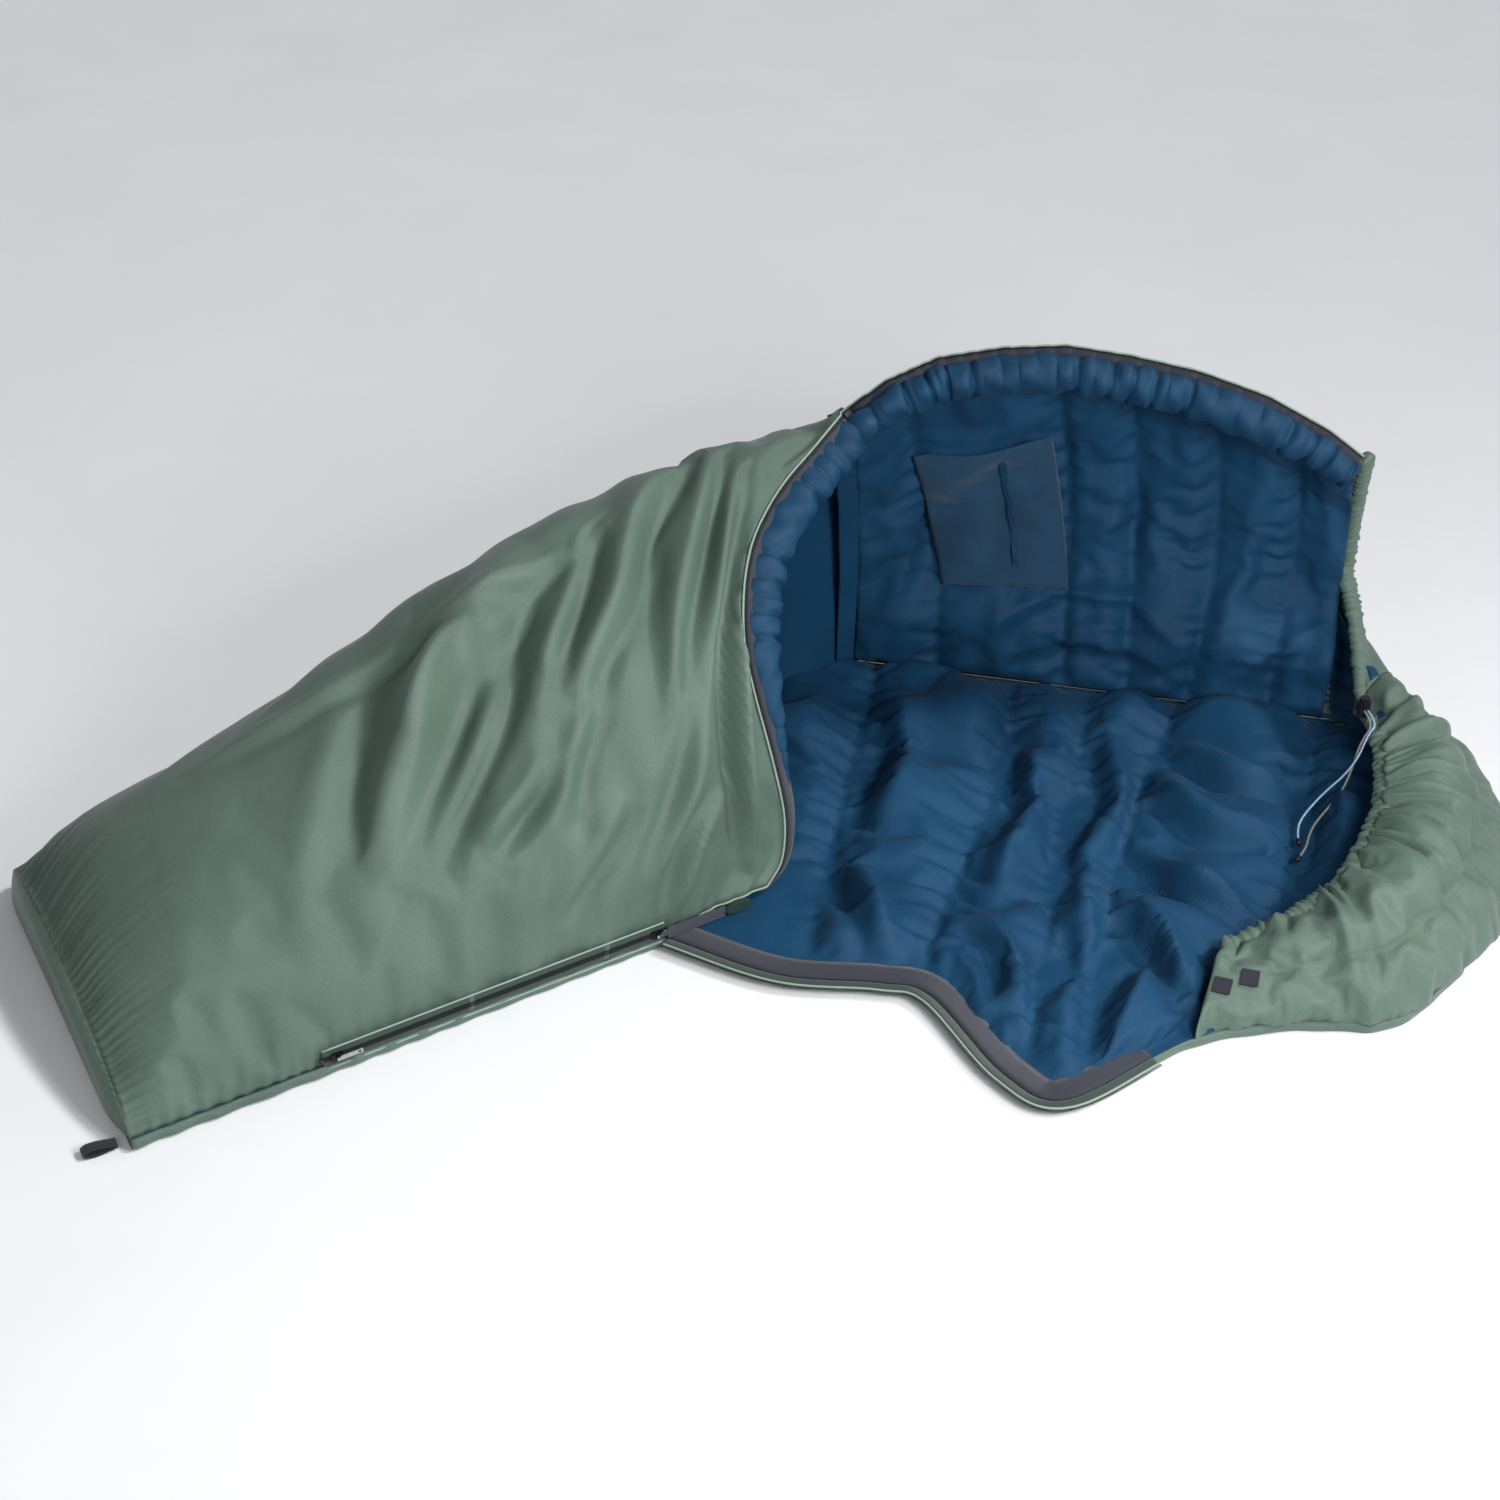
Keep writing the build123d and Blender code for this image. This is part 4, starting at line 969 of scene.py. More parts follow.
hood_out = end_on_outline(hood_out)
h_row, h_col = np.meshgrid(np.linspace(0, 1, HOOD_ROWS), np.linspace(0, 1, HOOD_COLS), indexing="ij")
hood_n = normals_of(hood_out)
if np.mean(hood_n[:, HOOD_COLS // 2, 2]) < 0:
    hood_n = -hood_n
pleat_turn = h_row * 46 + 1.3 * np.sin(h_row * 31) + 0.8 * np.sin(h_row * 67)
pleats = np.sin(pleat_turn * 2.2) * np.exp(-h_col / 0.30) * 0.0075
pleats += np.sin(pleat_turn * 1.0 + 1.0) * np.exp(-((h_col - 0.35) / 0.3) ** 2) * 0.0060
pleats += np.sin(pleat_turn * 1.4 + 2.0) * np.exp(-(1 - h_col) / 0.2) * 0.0045
hood_seam_gap = (h_col - 0.56 - 0.05 * np.sin(h_row * 5)) * 0.24
pleats += 0.010 * (1 - np.exp(-np.abs(hood_seam_gap) / 0.014)) - 0.006
pleats += 0.0035 * swell(h_row * 12, h_col * 3, 31)
pleats += 0.0032 * np.sin(pleat_turn * 5.1) * np.exp(-h_col / 0.12)
squares = [sum(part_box(name), Vector()) / 2 for name in ("hook_square", "loop_square")]
for square in squares:      # the cloth is held flat under the hook-and-loop squares
    away = np.linalg.norm(hood_out - np.array(square), axis=2)
    pleats = pleats * ease(away, 0.018, 0.045) + 0.0052 * (1 - ease(away, 0.018, 0.045))
lock_low, lock_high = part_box("cord_lock_body")
lock_path = [(lock_low + lock_high) / 2 + Vector((0.5, -0.866, 0)) * run
             for run in (-0.008, 0.0, 0.008, 0.016)]


def lock_room(places):
    """1 away from the cord lock and its run, down to 0 under them."""
    away = np.min([np.linalg.norm(places - np.array(spot), axis=-1) for spot in lock_path], axis=0)
    return ease(away, 0.016, 0.042)


hood_room = lock_room(hood_out)
pleats = pleats * hood_room - 0.009 * (1 - hood_room)
hood_fade = ease(h_col, 0.0, 0.02) * ease(1 - h_col, 0.0, 0.05)
hood = hood_out + hood_n * (pleats * hood_fade)[..., None]
hood_skin = cloth("hood_skin", hood, hood_cloth, None, "shell_fabric", plies("hood_shell", "hood_fill"))
face_toward(hood_skin, (0.7, 0, 3))
mark(hood_skin, "seam", hood_seam_gap)
mark(hood_skin, "run", h_row * 0.95)
hood_pins = ((h_col < 0.01) | (h_col > 0.99) | (h_row < 0.004) | (h_row > 0.996)
             | (np.abs(hood_seam_gap) < 0.003))
for square in squares:
    hood_pins |= np.linalg.norm(hood_out - np.array(square), axis=2) < 0.024
hood = puff(hood_skin, hood, hood_pins, grow=0.04, pressure=1.6, stiff=2.5, cap=0.010)
thicken(hood_skin, 0.0012)
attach(hood_skin, "root")
hood_lift = 0.004 * swell(h_row * 12, h_col * 3, 37)
hood_face = hood_in + hood_n * hood_lift[..., None] * 0.5
hood_lining = cloth("hood_inside", hood_face, lining_plain, "root", "lining_fabric", ("hood_lining",))
thicken(hood_lining, 0.001)

# ---------------------------------------------------------------- bottom layer
BOTTOM_ROWS, BOTTOM_COLS = 270, 130
def match(line, stations):
    """Points of a line at the given shares of its own row count."""
    at = np.linspace(0, 1, len(line))
    return np.stack([np.interp(stations, at, line[:, k]) for k in range(3)], axis=1)


stations = np.linspace(0, 1, BOTTOM_ROWS)
near_side = match(near_line, stations)
far_side = match(far_line, stations)
across_share = np.linspace(0, 1, BOTTOM_COLS)
HOOD_TUCK = 0.010           # the lining ends this far inside the hood's outline
tuck_near = HOOD_TUCK * ease(near_side[:, 0], 0.58, 0.70) / np.linalg.norm(far_side - near_side, axis=1)
tuck_far = HOOD_TUCK * ease(far_side[:, 0], 0.78, 0.86) / np.linalg.norm(far_side - near_side, axis=1)
bed_share = tuck_near[:, None] + (1 - tuck_near - tuck_far)[:, None] * across_share[None, :]
bed = near_side[:, None] + (far_side - near_side)[:, None] * bed_share[..., None]
bed[..., 2] = PLY_FLOOR - 0.001
bed = relax(bed, 3)
b_row, b_col = np.meshgrid(stations, across_share, indexing="ij")
BOTTOM_SEAMS = [            # runs across the bottom layer, far side to near side, foot to hood
    [(-0.380, 0.010), (-0.400, -0.250), (-0.420, -0.620)],
    [(-0.160, 0.200), (-0.200, -0.100), (-0.210, -0.440)],
    [(0.045, 0.330), (0.060, -0.060), (0.085, -0.460)],
    [(0.262, 0.330), (0.280, 0.060), (0.251, -0.267), (0.245, -0.450)],
    [(0.383, 0.330), (0.393, -0.115), (0.407, -0.560)],
    [(0.524, 0.330), (0.477, -0.096), (0.488, -0.590)],
    [(0.742, 0.310), (0.718, -0.089), (0.640, -0.400)],
]


def plan_gap(places, line):
    """Signed distance in plan from a run of points, and how far along it."""
    best = np.full(places.shape[:2], 1e9)
    sign = np.ones(places.shape[:2])
    along = np.zeros(places.shape[:2])
    line = smooth_line([(x, y, 0) for x, y in line], 24)[:, :2]
    done = 0.0
    for a, b in zip(line, line[1:]):
        run = b - a
        length = math.hypot(*run)
        t = np.clip(((places[..., :2] - a) @ run) / length ** 2, 0, 1)
        away = places[..., :2] - (a + t[..., None] * run)
        gap = np.hypot(away[..., 0], away[..., 1])
        closer = gap < best
        best[closer] = gap[closer]
        sign[closer] = np.sign(run[0] * away[..., 1] - run[1] * away[..., 0])[closer]
        along[closer] = (done + t * length)[closer]
        done += length
    return best * sign, along


bed_gap = np.full(bed.shape[:2], 1e9)
bed_run = np.zeros(bed.shape[:2])
for order, line in enumerate(BOTTOM_SEAMS):
    gap, along = plan_gap(bed, line)
    closer = np.abs(gap) < np.abs(bed_gap)
    bed_gap[closer] = gap[closer] * (-1) ** order
    bed_run[closer] = along[closer]
EDGE_BAND = 0.040           # the strip along the near edge lies flat
edge_in = b_col * np.linalg.norm(far_side - near_side, axis=1)[:, None]
edge_out = (1 - b_col) * np.linalg.norm(far_side - near_side, axis=1)[:, None]
rise = 0.032 * (1 - np.exp(-np.abs(bed_gap) / 0.030)) - 0.004
rise += 0.009 * swell(bed[..., 0] * 6, bed[..., 1] * 4, 41)
BED_DEPTH = 1.6
BOTTOM_CREASES = [
    ([(0.10, -0.20, 0.02), (0.15, -0.30, 0.02), (0.20, -0.42, 0.02)], 0.020, 0.016),
    ([(0.30, 0.16, 0.02), (0.34, -0.02, 0.02), (0.31, -0.24, 0.02)], 0.020, 0.014),
    ([(0.30, -0.30, 0.02), (0.36, -0.38, 0.02), (0.39, -0.50, 0.02)], 0.018, 0.016),
    ([(0.42, 0.20, 0.02), (0.46, 0.02, 0.02), (0.43, -0.16, 0.02)], 0.020, 0.016),
    ([(0.43, -0.20, 0.02), (0.46, -0.34, 0.02), (0.43, -0.48, 0.02)], 0.020, 0.014),
    ([(0.52, 0.20, 0.02), (0.62, 0.12, 0.02), (0.70, 0.12, 0.02)], 0.022, 0.018),
    ([(0.52, 0.06, 0.02), (0.60, -0.02, 0.02), (0.68, -0.02, 0.02)], 0.022, 0.020),
    ([(0.50, -0.08, 0.02), (0.57, -0.16, 0.02), (0.66, -0.20, 0.02)], 0.020, 0.020),
    ([(0.50, -0.22, 0.02), (0.56, -0.30, 0.02), (0.60, -0.40, 0.02)], 0.020, 0.020),
    ([(0.54, -0.34, 0.02), (0.52, -0.44, 0.02), (0.50, -0.54, 0.02)], 0.018, 0.016),
    ([(0.10, 0.22, 0.02), (0.14, 0.02, 0.02), (0.12, -0.16, 0.02)], 0.024, 0.014),
    ([(0.74, 0.16, 0.02), (0.78, 0.02, 0.02), (0.76, -0.14, 0.02)], 0.024, 0.018),
]
for points, width, height in BOTTOM_CREASES:
    rise += stroke(bed, points, width, height * BED_DEPTH)
rise += puckers(bed, [[(x, y, PLY_FLOOR) for x, y in line] for line in BOTTOM_SEAMS[1:]], 71, 0.010)
flat_edge = ease(edge_in, 0.034, EDGE_BAND + 0.05) * ease(edge_out, 0.0, 0.03) * ease(b_row, 0.0, 0.02)
under_leg = 0.25 + 0.75 * ease(bed[..., 0], -0.30, 0.0)
corner = (1 - ease(bed[..., 0], 0.03, 0.13)) * (1 - ease(bed[..., 1], -0.34, -0.12))
under_leg *= 1 - 0.9 * corner
bed_face = bed.copy()
bed_face[..., 2] += np.maximum(rise, -0.004) * flat_edge * under_leg * ease(1 - b_row, 0.0, 0.06)
bottom_lining = cloth("bottom_lining_quilt", bed_face, lining_cloth, None, "lining_fabric",
                      ("bottom_lining",))
face_toward(bottom_lining, (0.2, 0, 5))
mark(bottom_lining, "seam", bed_gap)
mark(bottom_lining, "run", bed_run)
bed_pins = ((np.abs(bed_gap) < 0.006) | (edge_in < EDGE_BAND + 0.006) | (edge_out < 0.008)
            | (b_row < 0.01) | (b_row > 0.99))
bed_pins |= (bed[..., 0] < -0.30) | (corner > 0.4)
bed_face = puff(bottom_lining, bed_face, bed_pins, grow=0.05, pressure=1.0, stiff=3, cap=0.018)
bed_face[..., 2] = np.maximum(bed_face[..., 2], 0.012)
place(bottom_lining, bed_face)
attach(bottom_lining, "root")

UNDER_COLS = 44
under_turn = np.linspace(0, 1, UNDER_COLS)
under = np.empty((BOTTOM_ROWS, UNDER_COLS, 3))
scallop = 0.5 + 0.5 * np.sin(stations * 210 + 1.5 * np.sin(stations * 33))
outward = (near_side - far_side) / np.linalg.norm(near_side - far_side, axis=1, keepdims=True)
for k, turn in enumerate(under_turn):
    near_arc = np.pi * min(turn / 0.2, 1)
    far_arc = np.pi * max((turn - 0.8) / 0.2, 0)
    share = min(max((turn - 0.2) / 0.6, 0), 1)
    base = near_side + (far_side - near_side) * share
    bulge = np.sin(near_arc) * (0.005 + 0.004 * scallop) if turn < 0.2 else 0
    far_bulge = np.sin(far_arc) * 0.006 if turn > 0.8 else 0
    level = PLY_FLOOR * (1 + math.cos(near_arc)) / 2 if turn < 0.2 else 0.0
    level = PLY_FLOOR * (1 - math.cos(far_arc)) / 2 if turn > 0.8 else level
    under[:, k] = base + outward * np.reshape(bulge - far_bulge, (-1, 1))
    under[:, k, 2] = level + 0.0006
bottom_skin = cloth("bottom_skin", under, shell_cloth, None, "shell_fabric",
                    ("bottom_shell", "bottom_fill"))
face_toward(bottom_skin, (0.2, 0, -5))
thicken(bottom_skin, 0.0005)
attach(bottom_skin, "root")


# ---------------------------------------------------------------- foot panel
def foot_panel():
    """The puckered end of the leg tube."""
    rim = leg[0]
    shift = np.array(tuple(-LEG_AXIS))
    rings = 22
    centre = rim.mean(axis=0) * (1, 1, 0) + (0, 0, 0.035)
    panel = np.empty((rings, LEG_COLS, 3))
    waves = np.sin(np.linspace(0, 330, LEG_COLS) + 2 * np.sin(np.linspace(0, 41, LEG_COLS)))
    for k in range(rings):
        inwards = k / (rings - 1)
        bulge = 0.0145 * math.sin(math.pi / 2 * min(1, inwards * 4))
        flutter = 0.0018 * waves * math.exp(-inwards * 7) * min(1, inwards * 12)
        panel[k] = rim + (centre - rim) * inwards + shift * np.reshape(bulge + flutter, (-1, 1))
    panel[:, [0, -1], 2] = 0.0155
    piece = cloth("foot_panel_skin", panel, gathered_shell, "root", "shell_fabric",
                  ("foot_panel_shell", "foot_panel_fill", "foot_panel_lining"))
    face_toward(piece, tuple(-LEG_AXIS * 4))
    thicken(piece, 0.0012)


foot_panel()


def webbing_loop():
    """The folded loop of webbing sewn to the foot's near corner."""
    root = FOOT_NEAR - LEG_AXIS * 0.0145 + LEG_ACROSS * 0.006
    path = smooth_line([(0.0, 0, 0.0056), (0.012, 0, 0.0038), (0.028, 0, 0.0016), (0.040, 0, 0.0036),
                        (0.0436, 0, 0.0075), (0.038, 0, 0.0118), (0.026, 0, 0.0122), (0.012, 0, 0.0098),
                        (0.0, 0, 0.0076)], 64)
    across = np.linspace(0, 0.015, 7)
    places = (np.array(root)[None, None] - path[:, None, 0:1] * np.array(LEG_AXIS)
              + across[None, :, None] * np.array(LEG_ACROSS) + path[:, None, 2:3] * np.array((0, 0, 1)))
    places[..., 2] += 0.0004 * np.sin(across / 0.015 * np.pi)[None]
    piece = cloth("foot_loop_webbing", places, web_black, "root", "webbing", ("foot_loop",))
    thicken(piece, 0.0014)


webbing_loop()

# ---------------------------------------------------------------- trims of the free edge
flare_row = int(FLARE_SHARE * (LEG_ROWS - 1))
near_run = leg[flare_row:, 0]
mouth_run = leg[-1, :crest_col + 1]
flap_run = flap_back[:, -1]
EDGE_POINTS = 260
mouth_free = resample(np.concatenate([near_run[:-1], mouth_run]), EDGE_POINTS)
flap_free = resample(np.concatenate([mouth_run[-1:], flap_run]), 300)


def blur(values, times):
    for _ in range(times):
        values[1:-1] = (values[:-2] + 2 * values[1:-1] + values[2:]) / 4
    return values


def edge_frame(line, hollow):
    """Unit directions out of the cloth's hollow side and on past its edge, along the free edge."""
    run = blur(np.gradient(line, axis=0), 8)
    run /= np.linalg.norm(run, axis=1, keepdims=True)
    inner = np.array(hollow) - line
    inner -= np.sum(inner * run, axis=1, keepdims=True) * run
    inner = blur(inner, 20)
    inner /= np.linalg.norm(inner, axis=1, keepdims=True)
    beyond = np.cross(inner, run)
    return inner, beyond


def ribbon(name, line, inner, beyond, spans, material, **facts):
    """A flat trim beside the free edge: spans are (inwards, beyond) pairs across it."""
    places = np.stack([line + inner * np.reshape(a, (-1, 1)) + beyond * np.reshape(b, (-1, 1))
                       for a, b in spans], axis=1)
    piece = cloth(name, places, material, **facts)
    thicken(piece, 0.0012)
    return piece


mouth_inner, mouth_beyond = edge_frame(mouth_free, (-0.10, 0.05, 0.10))
if mouth_beyond[130][0] < 0:
    mouth_beyond = -mouth_beyond
flap_inner, flap_beyond = edge_frame(flap_free, (0.35, 0.05, 0.25))
if flap_beyond[150][2] < 0:
    flap_beyond = -flap_beyond


def roll_ripple(seed, strength):
    draw = random.Random(seed)
    phases = [draw.uniform(0, 6.28) for _ in range(6)]

    def ripple(share, turn):
        wave = math.sin(share * 40 + 2.4 * math.sin(share * 17 + phases[0]) + phases[1])
        pinch = 1 - math.exp(-(wave / 0.30) ** 2)
        slant = np.sin(turn * 2 + share * 70 + phases[2]) + np.sin(turn * 3 - share * 95 + phases[3])
        return 1 + strength * (pinch - 0.75) + strength * 0.20 * slant
    return ripple


mouth_along = np.linspace(0, 1, EDGE_POINTS)
flap_along = np.linspace(0, 1, 300)
mouth_size = 0.003 + 0.027 * ease(mouth_along, 0.30, 0.62)
flap_size = 0.031 - 0.006 * ease(flap_along, 0.80, 1.0) + 0.003 * ease(flap_along, 0.1, 0.4)
mouth_centres = mouth_free + mouth_inner * (0.010 + mouth_size * 0.75)[:, None] + mouth_beyond * (
    0.018 - 0.004 * ease(mouth_along, 0.7, 1.0))[:, None] * ease(mouth_along, 0.0, 0.5)[:, None]
TUBE_START = 70
sleeve("mouth_tube", mouth_centres[TUBE_START:], mouth_size[TUBE_START:] * 1.1,
       mouth_size[TUBE_START:] * 0.85,
       (mouth_beyond[TUBE_START:], mouth_inner[TUBE_START:]),
       44, roll_ripple(5, 0.26), material=tube_cloth, body="root", slot="lining_fabric",
       stands_for=("mouth_draft_tube",), fill=0.7)
flap_centres = flap_free + flap_inner * (0.004 + flap_size * 0.96)[:, None] - flap_beyond * (
    flap_size * 0.35 - 0.014 * (1 - ease(flap_along, 0.0, 0.12)))[:, None]
flap_tube = sleeve("flap_tube", flap_centres, flap_size * 1.12, flap_size * 0.80, (flap_beyond, flap_inner),
                   44, roll_ripple(9, 0.26), material=tube_cloth, slot="lining_fabric",
                   stands_for=("flap_draft_tube",), fill=0.7)

ribbon("mouth_strip", mouth_free, mouth_inner, mouth_beyond,
       [(0.001, 0.004), (0.004, 0.011), (0.012, 0.018), (0.022, 0.020)], strip_cloth,
       body="root", slot="strip_fabric", stands_for=("mouth_anti_snag_strip",))
flap_strip = ribbon("flap_strip", flap_free, flap_inner, flap_beyond,
                    [(0.002, 0.005), (0.010, 0.006), (0.018, 0.001), (0.024, -0.008)], strip_cloth,
                    slot="strip_fabric", stands_for=("flap_anti_snag_strip",))


def cord_line(name, line, radius, material, **facts):
    """A thin round trim along a line."""
    run = blur(np.gradient(line, axis=0), 2)
    run /= np.linalg.norm(run, axis=1, keepdims=True)
    side = np.cross(run, (0.0, 0.0, 1.0))
    side[np.linalg.norm(side, axis=1) < 0.2] = (1, 0, 0)
    side /= np.linalg.norm(side, axis=1, keepdims=True)
    up = np.cross(side, run)
    size = np.full(len(line), radius)
    return sleeve(name, line, size, size, (side, up), 9, material=material, **facts)


flap_pieces = [flap_lining, flap_skin, flap_tube, flap_strip]
cord_line("mouth_piping", mouth_free + mouth_beyond * 0.002 - mouth_inner * 0.001, 0.0017, piping_cloth,
          body="root", slot="strip_fabric")
flap_pieces.append(cord_line("flap_piping", flap_free + flap_beyond * 0.002 - flap_inner * 0.001, 0.0017,
                             piping_cloth, slot="strip_fabric"))

bed_edge = bed_face[:, 0]
edge_rows = np.nonzero((stations > 0.40) & (bed_edge[:, 0] > flare.x) & (bed_edge[:, 0] < 0.57)
                       & (bed_edge[:, 1] < -0.35))[0]
bed_line = resample(bed_edge[edge_rows], EDGE_POINTS)
bed_run_dir = np.gradient(bed_line, axis=0)
bed_run_dir /= np.linalg.norm(bed_run_dir, axis=1, keepdims=True)
bed_in = np.cross((0.0, 0.0, 1.0), bed_run_dir)
lay = np.array((0.0, 0.0, 1.0))


def bed_ribbon(name, low, high, height, material, **facts):
    spots = np.linspace(low, high, 5)
    crown = height + 0.0015 * np.sin(np.pi * np.linspace(0, 1, 5))
    places = np.stack([bed_line + bed_in * s + lay * c for s, c in zip(spots, crown)], axis=1)
    piece = cloth(name, places, material, **facts)
    face_toward(piece, (0.2, -0.4, 5))
    thicken(piece, 0.001)
    return piece


bed_ribbon("bottom_strip", 0.003, 0.040, 0.0022, strip_cloth, body="root", slot="strip_fabric",
           stands_for=("bottom_anti_snag_strip",))
bed_ribbon("bottom_tape", -0.011, 0.003, 0.0004, tape_cloth, body="root", slot="zip_tape",
           stands_for=("open_zip_tape_bottom",))
cord_line("bottom_piping", bed_line - bed_in * 0.012 + lay * 0.0005, 0.0017, piping_cloth, body="root",
          slot="strip_fabric")


# ---------------------------------------------------------------- zip coils
def coil(name, line, facing, across, material, pitch=0.0021, half=0.0016, depth=0.0012, **facts):
    """A row of coil turns along a line, one small bent loop each, joined in one mesh."""
    length = np.linalg.norm(np.diff(line, axis=0), axis=1).sum()
    count = int(length / pitch)
    spots = resample(line, count)
    at = np.linspace(0, 1, len(line))
    want = np.linspace(0, 1, count)
    out = np.stack([np.interp(want, at, facing[:, k]) for k in range(3)], axis=1)
    over = np.stack([np.interp(want, at, across[:, k]) for k in range(3)], axis=1)
    run = np.gradient(spots, axis=0)
    run /= np.linalg.norm(run, axis=1, keepdims=True)
    bpy.ops.object.select_all(action="DESELECT")
    bpy.ops.mesh.primitive_torus_add(major_segments=8, minor_segments=4, major_radius=1, minor_radius=0.36)
    loop = bpy.context.object
    shape = np.empty(len(loop.data.vertices) * 3)
    loop.data.vertices.foreach_get("co", shape)
    shape = shape.reshape(-1, 3)
    faces = [list(p.vertices) for p in loop.data.polygons]
    bpy.data.objects.remove(loop)
    points = (spots[:, None] + over[:, None] * (shape[None, :, 0:1] * half)
              + out[:, None] * (shape[None, :, 1:2] * depth)
              + run[:, None] * ((shape[None, :, 2:3] * 1.3 + shape[None, :, 0:1] * 0.25) * pitch * 0.45))
    mesh = bpy.data.meshes.new(name)
    all_faces = [[i + k * len(shape) for i in f] for k in range(count) for f in faces]
    mesh.from_pydata(points.reshape(-1, 3).tolist(), [], all_faces)
    piece = bpy.data.objects.new(name, mesh)
    bpy.context.collection.objects.link(piece)
    mesh.polygons.foreach_set("use_smooth", [True] * len(mesh.polygons))
    only(piece)
    bpy.ops.object.mode_set(mode="EDIT")
    bpy.ops.mesh.select_all(action="SELECT")
    bpy.ops.mesh.normals_make_consistent(inside=False)
    bpy.ops.object.mode_set(mode="OBJECT")
    dress(piece, material)
    if facts.get("body"):
        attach(piece, facts["body"])
    if facts.get("stands_for"):
        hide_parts(*facts["stands_for"])
    return piece


ZIP_RUN = (MOUTH_NEAR - FOOT_NEAR).normalized()
ZIP_OUT = Vector((ZIP_RUN.y, -ZIP_RUN.x, 0))
for level in ("top", "bottom"):
    low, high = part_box("zip_coil_" + level)
    start = Vector((low.x, low.y, (low.z + high.z) / 2))
    end = Vector((high.x, high.y, (low.z + high.z) / 2))
    rows = resample([start, end], 60)
    facing = np.tile(tuple(ZIP_OUT), (60, 1))
    coil("zip_teeth_" + level, rows, facing, np.tile((0.0, 0.0, 1.0), (60, 1)), coil_plastic,
         body="root", slot="zip_coil", stands_for=("zip_coil_" + level,))
    edge_low, edge_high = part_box("zip_tape_" + level)
    edge = edge_high.z + 0.0012 if level == "top" else edge_low.z - 0.0012
    hem = resample([Vector((low.x, low.y, edge)), Vector((high.x, high.y, edge))], 40)
    cord_line("zip_piping_" + level, hem + np.array(tuple(ZIP_OUT)) * 0.0006, 0.0013, piping_cloth,
              body="root", slot="strip_fabric")
coil("open_teeth_bottom", bed_line - bed_in * 0.016 + lay * 0.0006,
     np.tile((0.0, 0.0, 1.0), (EDGE_POINTS, 1)), bed_in, coil_plastic,
     body="root", slot="zip_coil", stands_for=("open_zip_coil_bottom",))
coil("mouth_teeth", mouth_free + mouth_beyond * 0.0062 + mouth_inner * 0.002, -mouth_inner, mouth_beyond,
     coil_plastic,
     body="root", slot="zip_coil")
flap_pieces.append(coil("flap_teeth", flap_free + flap_beyond * 0.0062 + flap_inner * 0.002, -flap_inner,
                        flap_beyond,
                        coil_plastic, slot="zip_coil",
                        stands_for=("open_zip_coil_flap", "open_zip_tape_flap")))

# ---------------------------------------------------------------- pocket on the lining
POCKET = (0.112, 0.312, 0.26, 0.66)     # x from, x to, shares from fold to edge


def patch(name, x_low, x_high, low, high, height, rows, cols, material, node, slot):
    """A cloth sewn on the raised layer's lining, with rolled edges and a soft middle."""
    xs = np.linspace(FLAP_FROM, FLAP_TO, FLAP_ROWS)
    shares = np.linspace(0, 1, FLAP_COLS)
    skew = 0.045
    places = np.empty((rows, cols, 3))
    base = relax(flap_face, 10)
    for i in range(rows):
        for j in range(cols):
            s = low + (high - low) * j / (cols - 1)
            x = x_low + (x_high - x_low) * i / (rows - 1) - skew * (j / (cols - 1) - 0.5)
            fi = np.interp(x, xs, np.arange(FLAP_ROWS))
            fj = np.interp(s, shares, np.arange(FLAP_COLS))
            a, b = int(fi), int(fj)
            spot = base[a, b] * (1 - fi + a) + base[min(a + 1, FLAP_ROWS - 1), b] * (fi - a)
            spot = spot + (base[a, min(b + 1, FLAP_COLS - 1)] - base[a, b]) * (fj - b)
            edge = min(i, rows - 1 - i) / rows, min(j, cols - 1 - j) / cols
            soft = min(1.0, min(edge) * 9)
            lift_off = height * (0.35 + 0.65 * soft ** 0.5)
            places[i, j] = spot + flap_n[a, b] * lift_off
    i_share, j_share = np.meshgrid(np.linspace(0, 1, rows), np.linspace(0, 1, cols), indexing="ij")
    places += (flap_n[FLAP_ROWS // 3, FLAP_COLS // 2]
               * (0.0022 * swell(i_share * 3, j_share * 3, 51))[..., None])
    piece = cloth(name, places, material, None, slot, (node,))
    face_toward(piece, (0.3, -0.6, 0.4))
    gap = (np.minimum(np.minimum(i_share, 1 - i_share) * (x_high - x_low),
                      np.minimum(j_share, 1 - j_share) * 0.24) - 0.004)
    mark(piece, "seam", gap)
    mark(piece, "run", i_share * (x_high - x_low) + j_share * 0.24)
    thicken(piece, 0.0012)
    return piece


pocket = patch("pocket_patch", *POCKET, 0.014, 56, 64, fleece, "pocket_panel", "pocket_fleece")
flap_pieces.append(pocket)
facing_low = POCKET[0] + 0.56 * (POCKET[1] - POCKET[0])
flap_pieces.append(patch("pocket_facing", facing_low, facing_low + 0.014, POCKET[2] + 0.03,
                         POCKET[3] - 0.03, 0.0185, 8, 60,
                         tube_cloth, "pocket_mouth_facing", "lining_fabric"))

# ---------------------------------------------------------------- gathered casings at the neck
flap_neck = flap_back[-1]
neck_count = 180


def gathers(seed, strength):
    draw = random.Random(seed)
    beat = [draw.uniform(0, 6.28) for _ in range(4)]

    def ripple(share, turn):
        fold = math.sin(share * 330 + 3.5 * math.sin(share * 23 + beat[0]) + beat[1])
        other = math.sin(share * 205 + 2.5 * math.sin(share * 31 + beat[2]) + beat[3])
        return 1 + strength * (0.6 * fold + 0.4 * other) + 0.08 * np.sin(turn * 3 + share * 160)
    return ripple


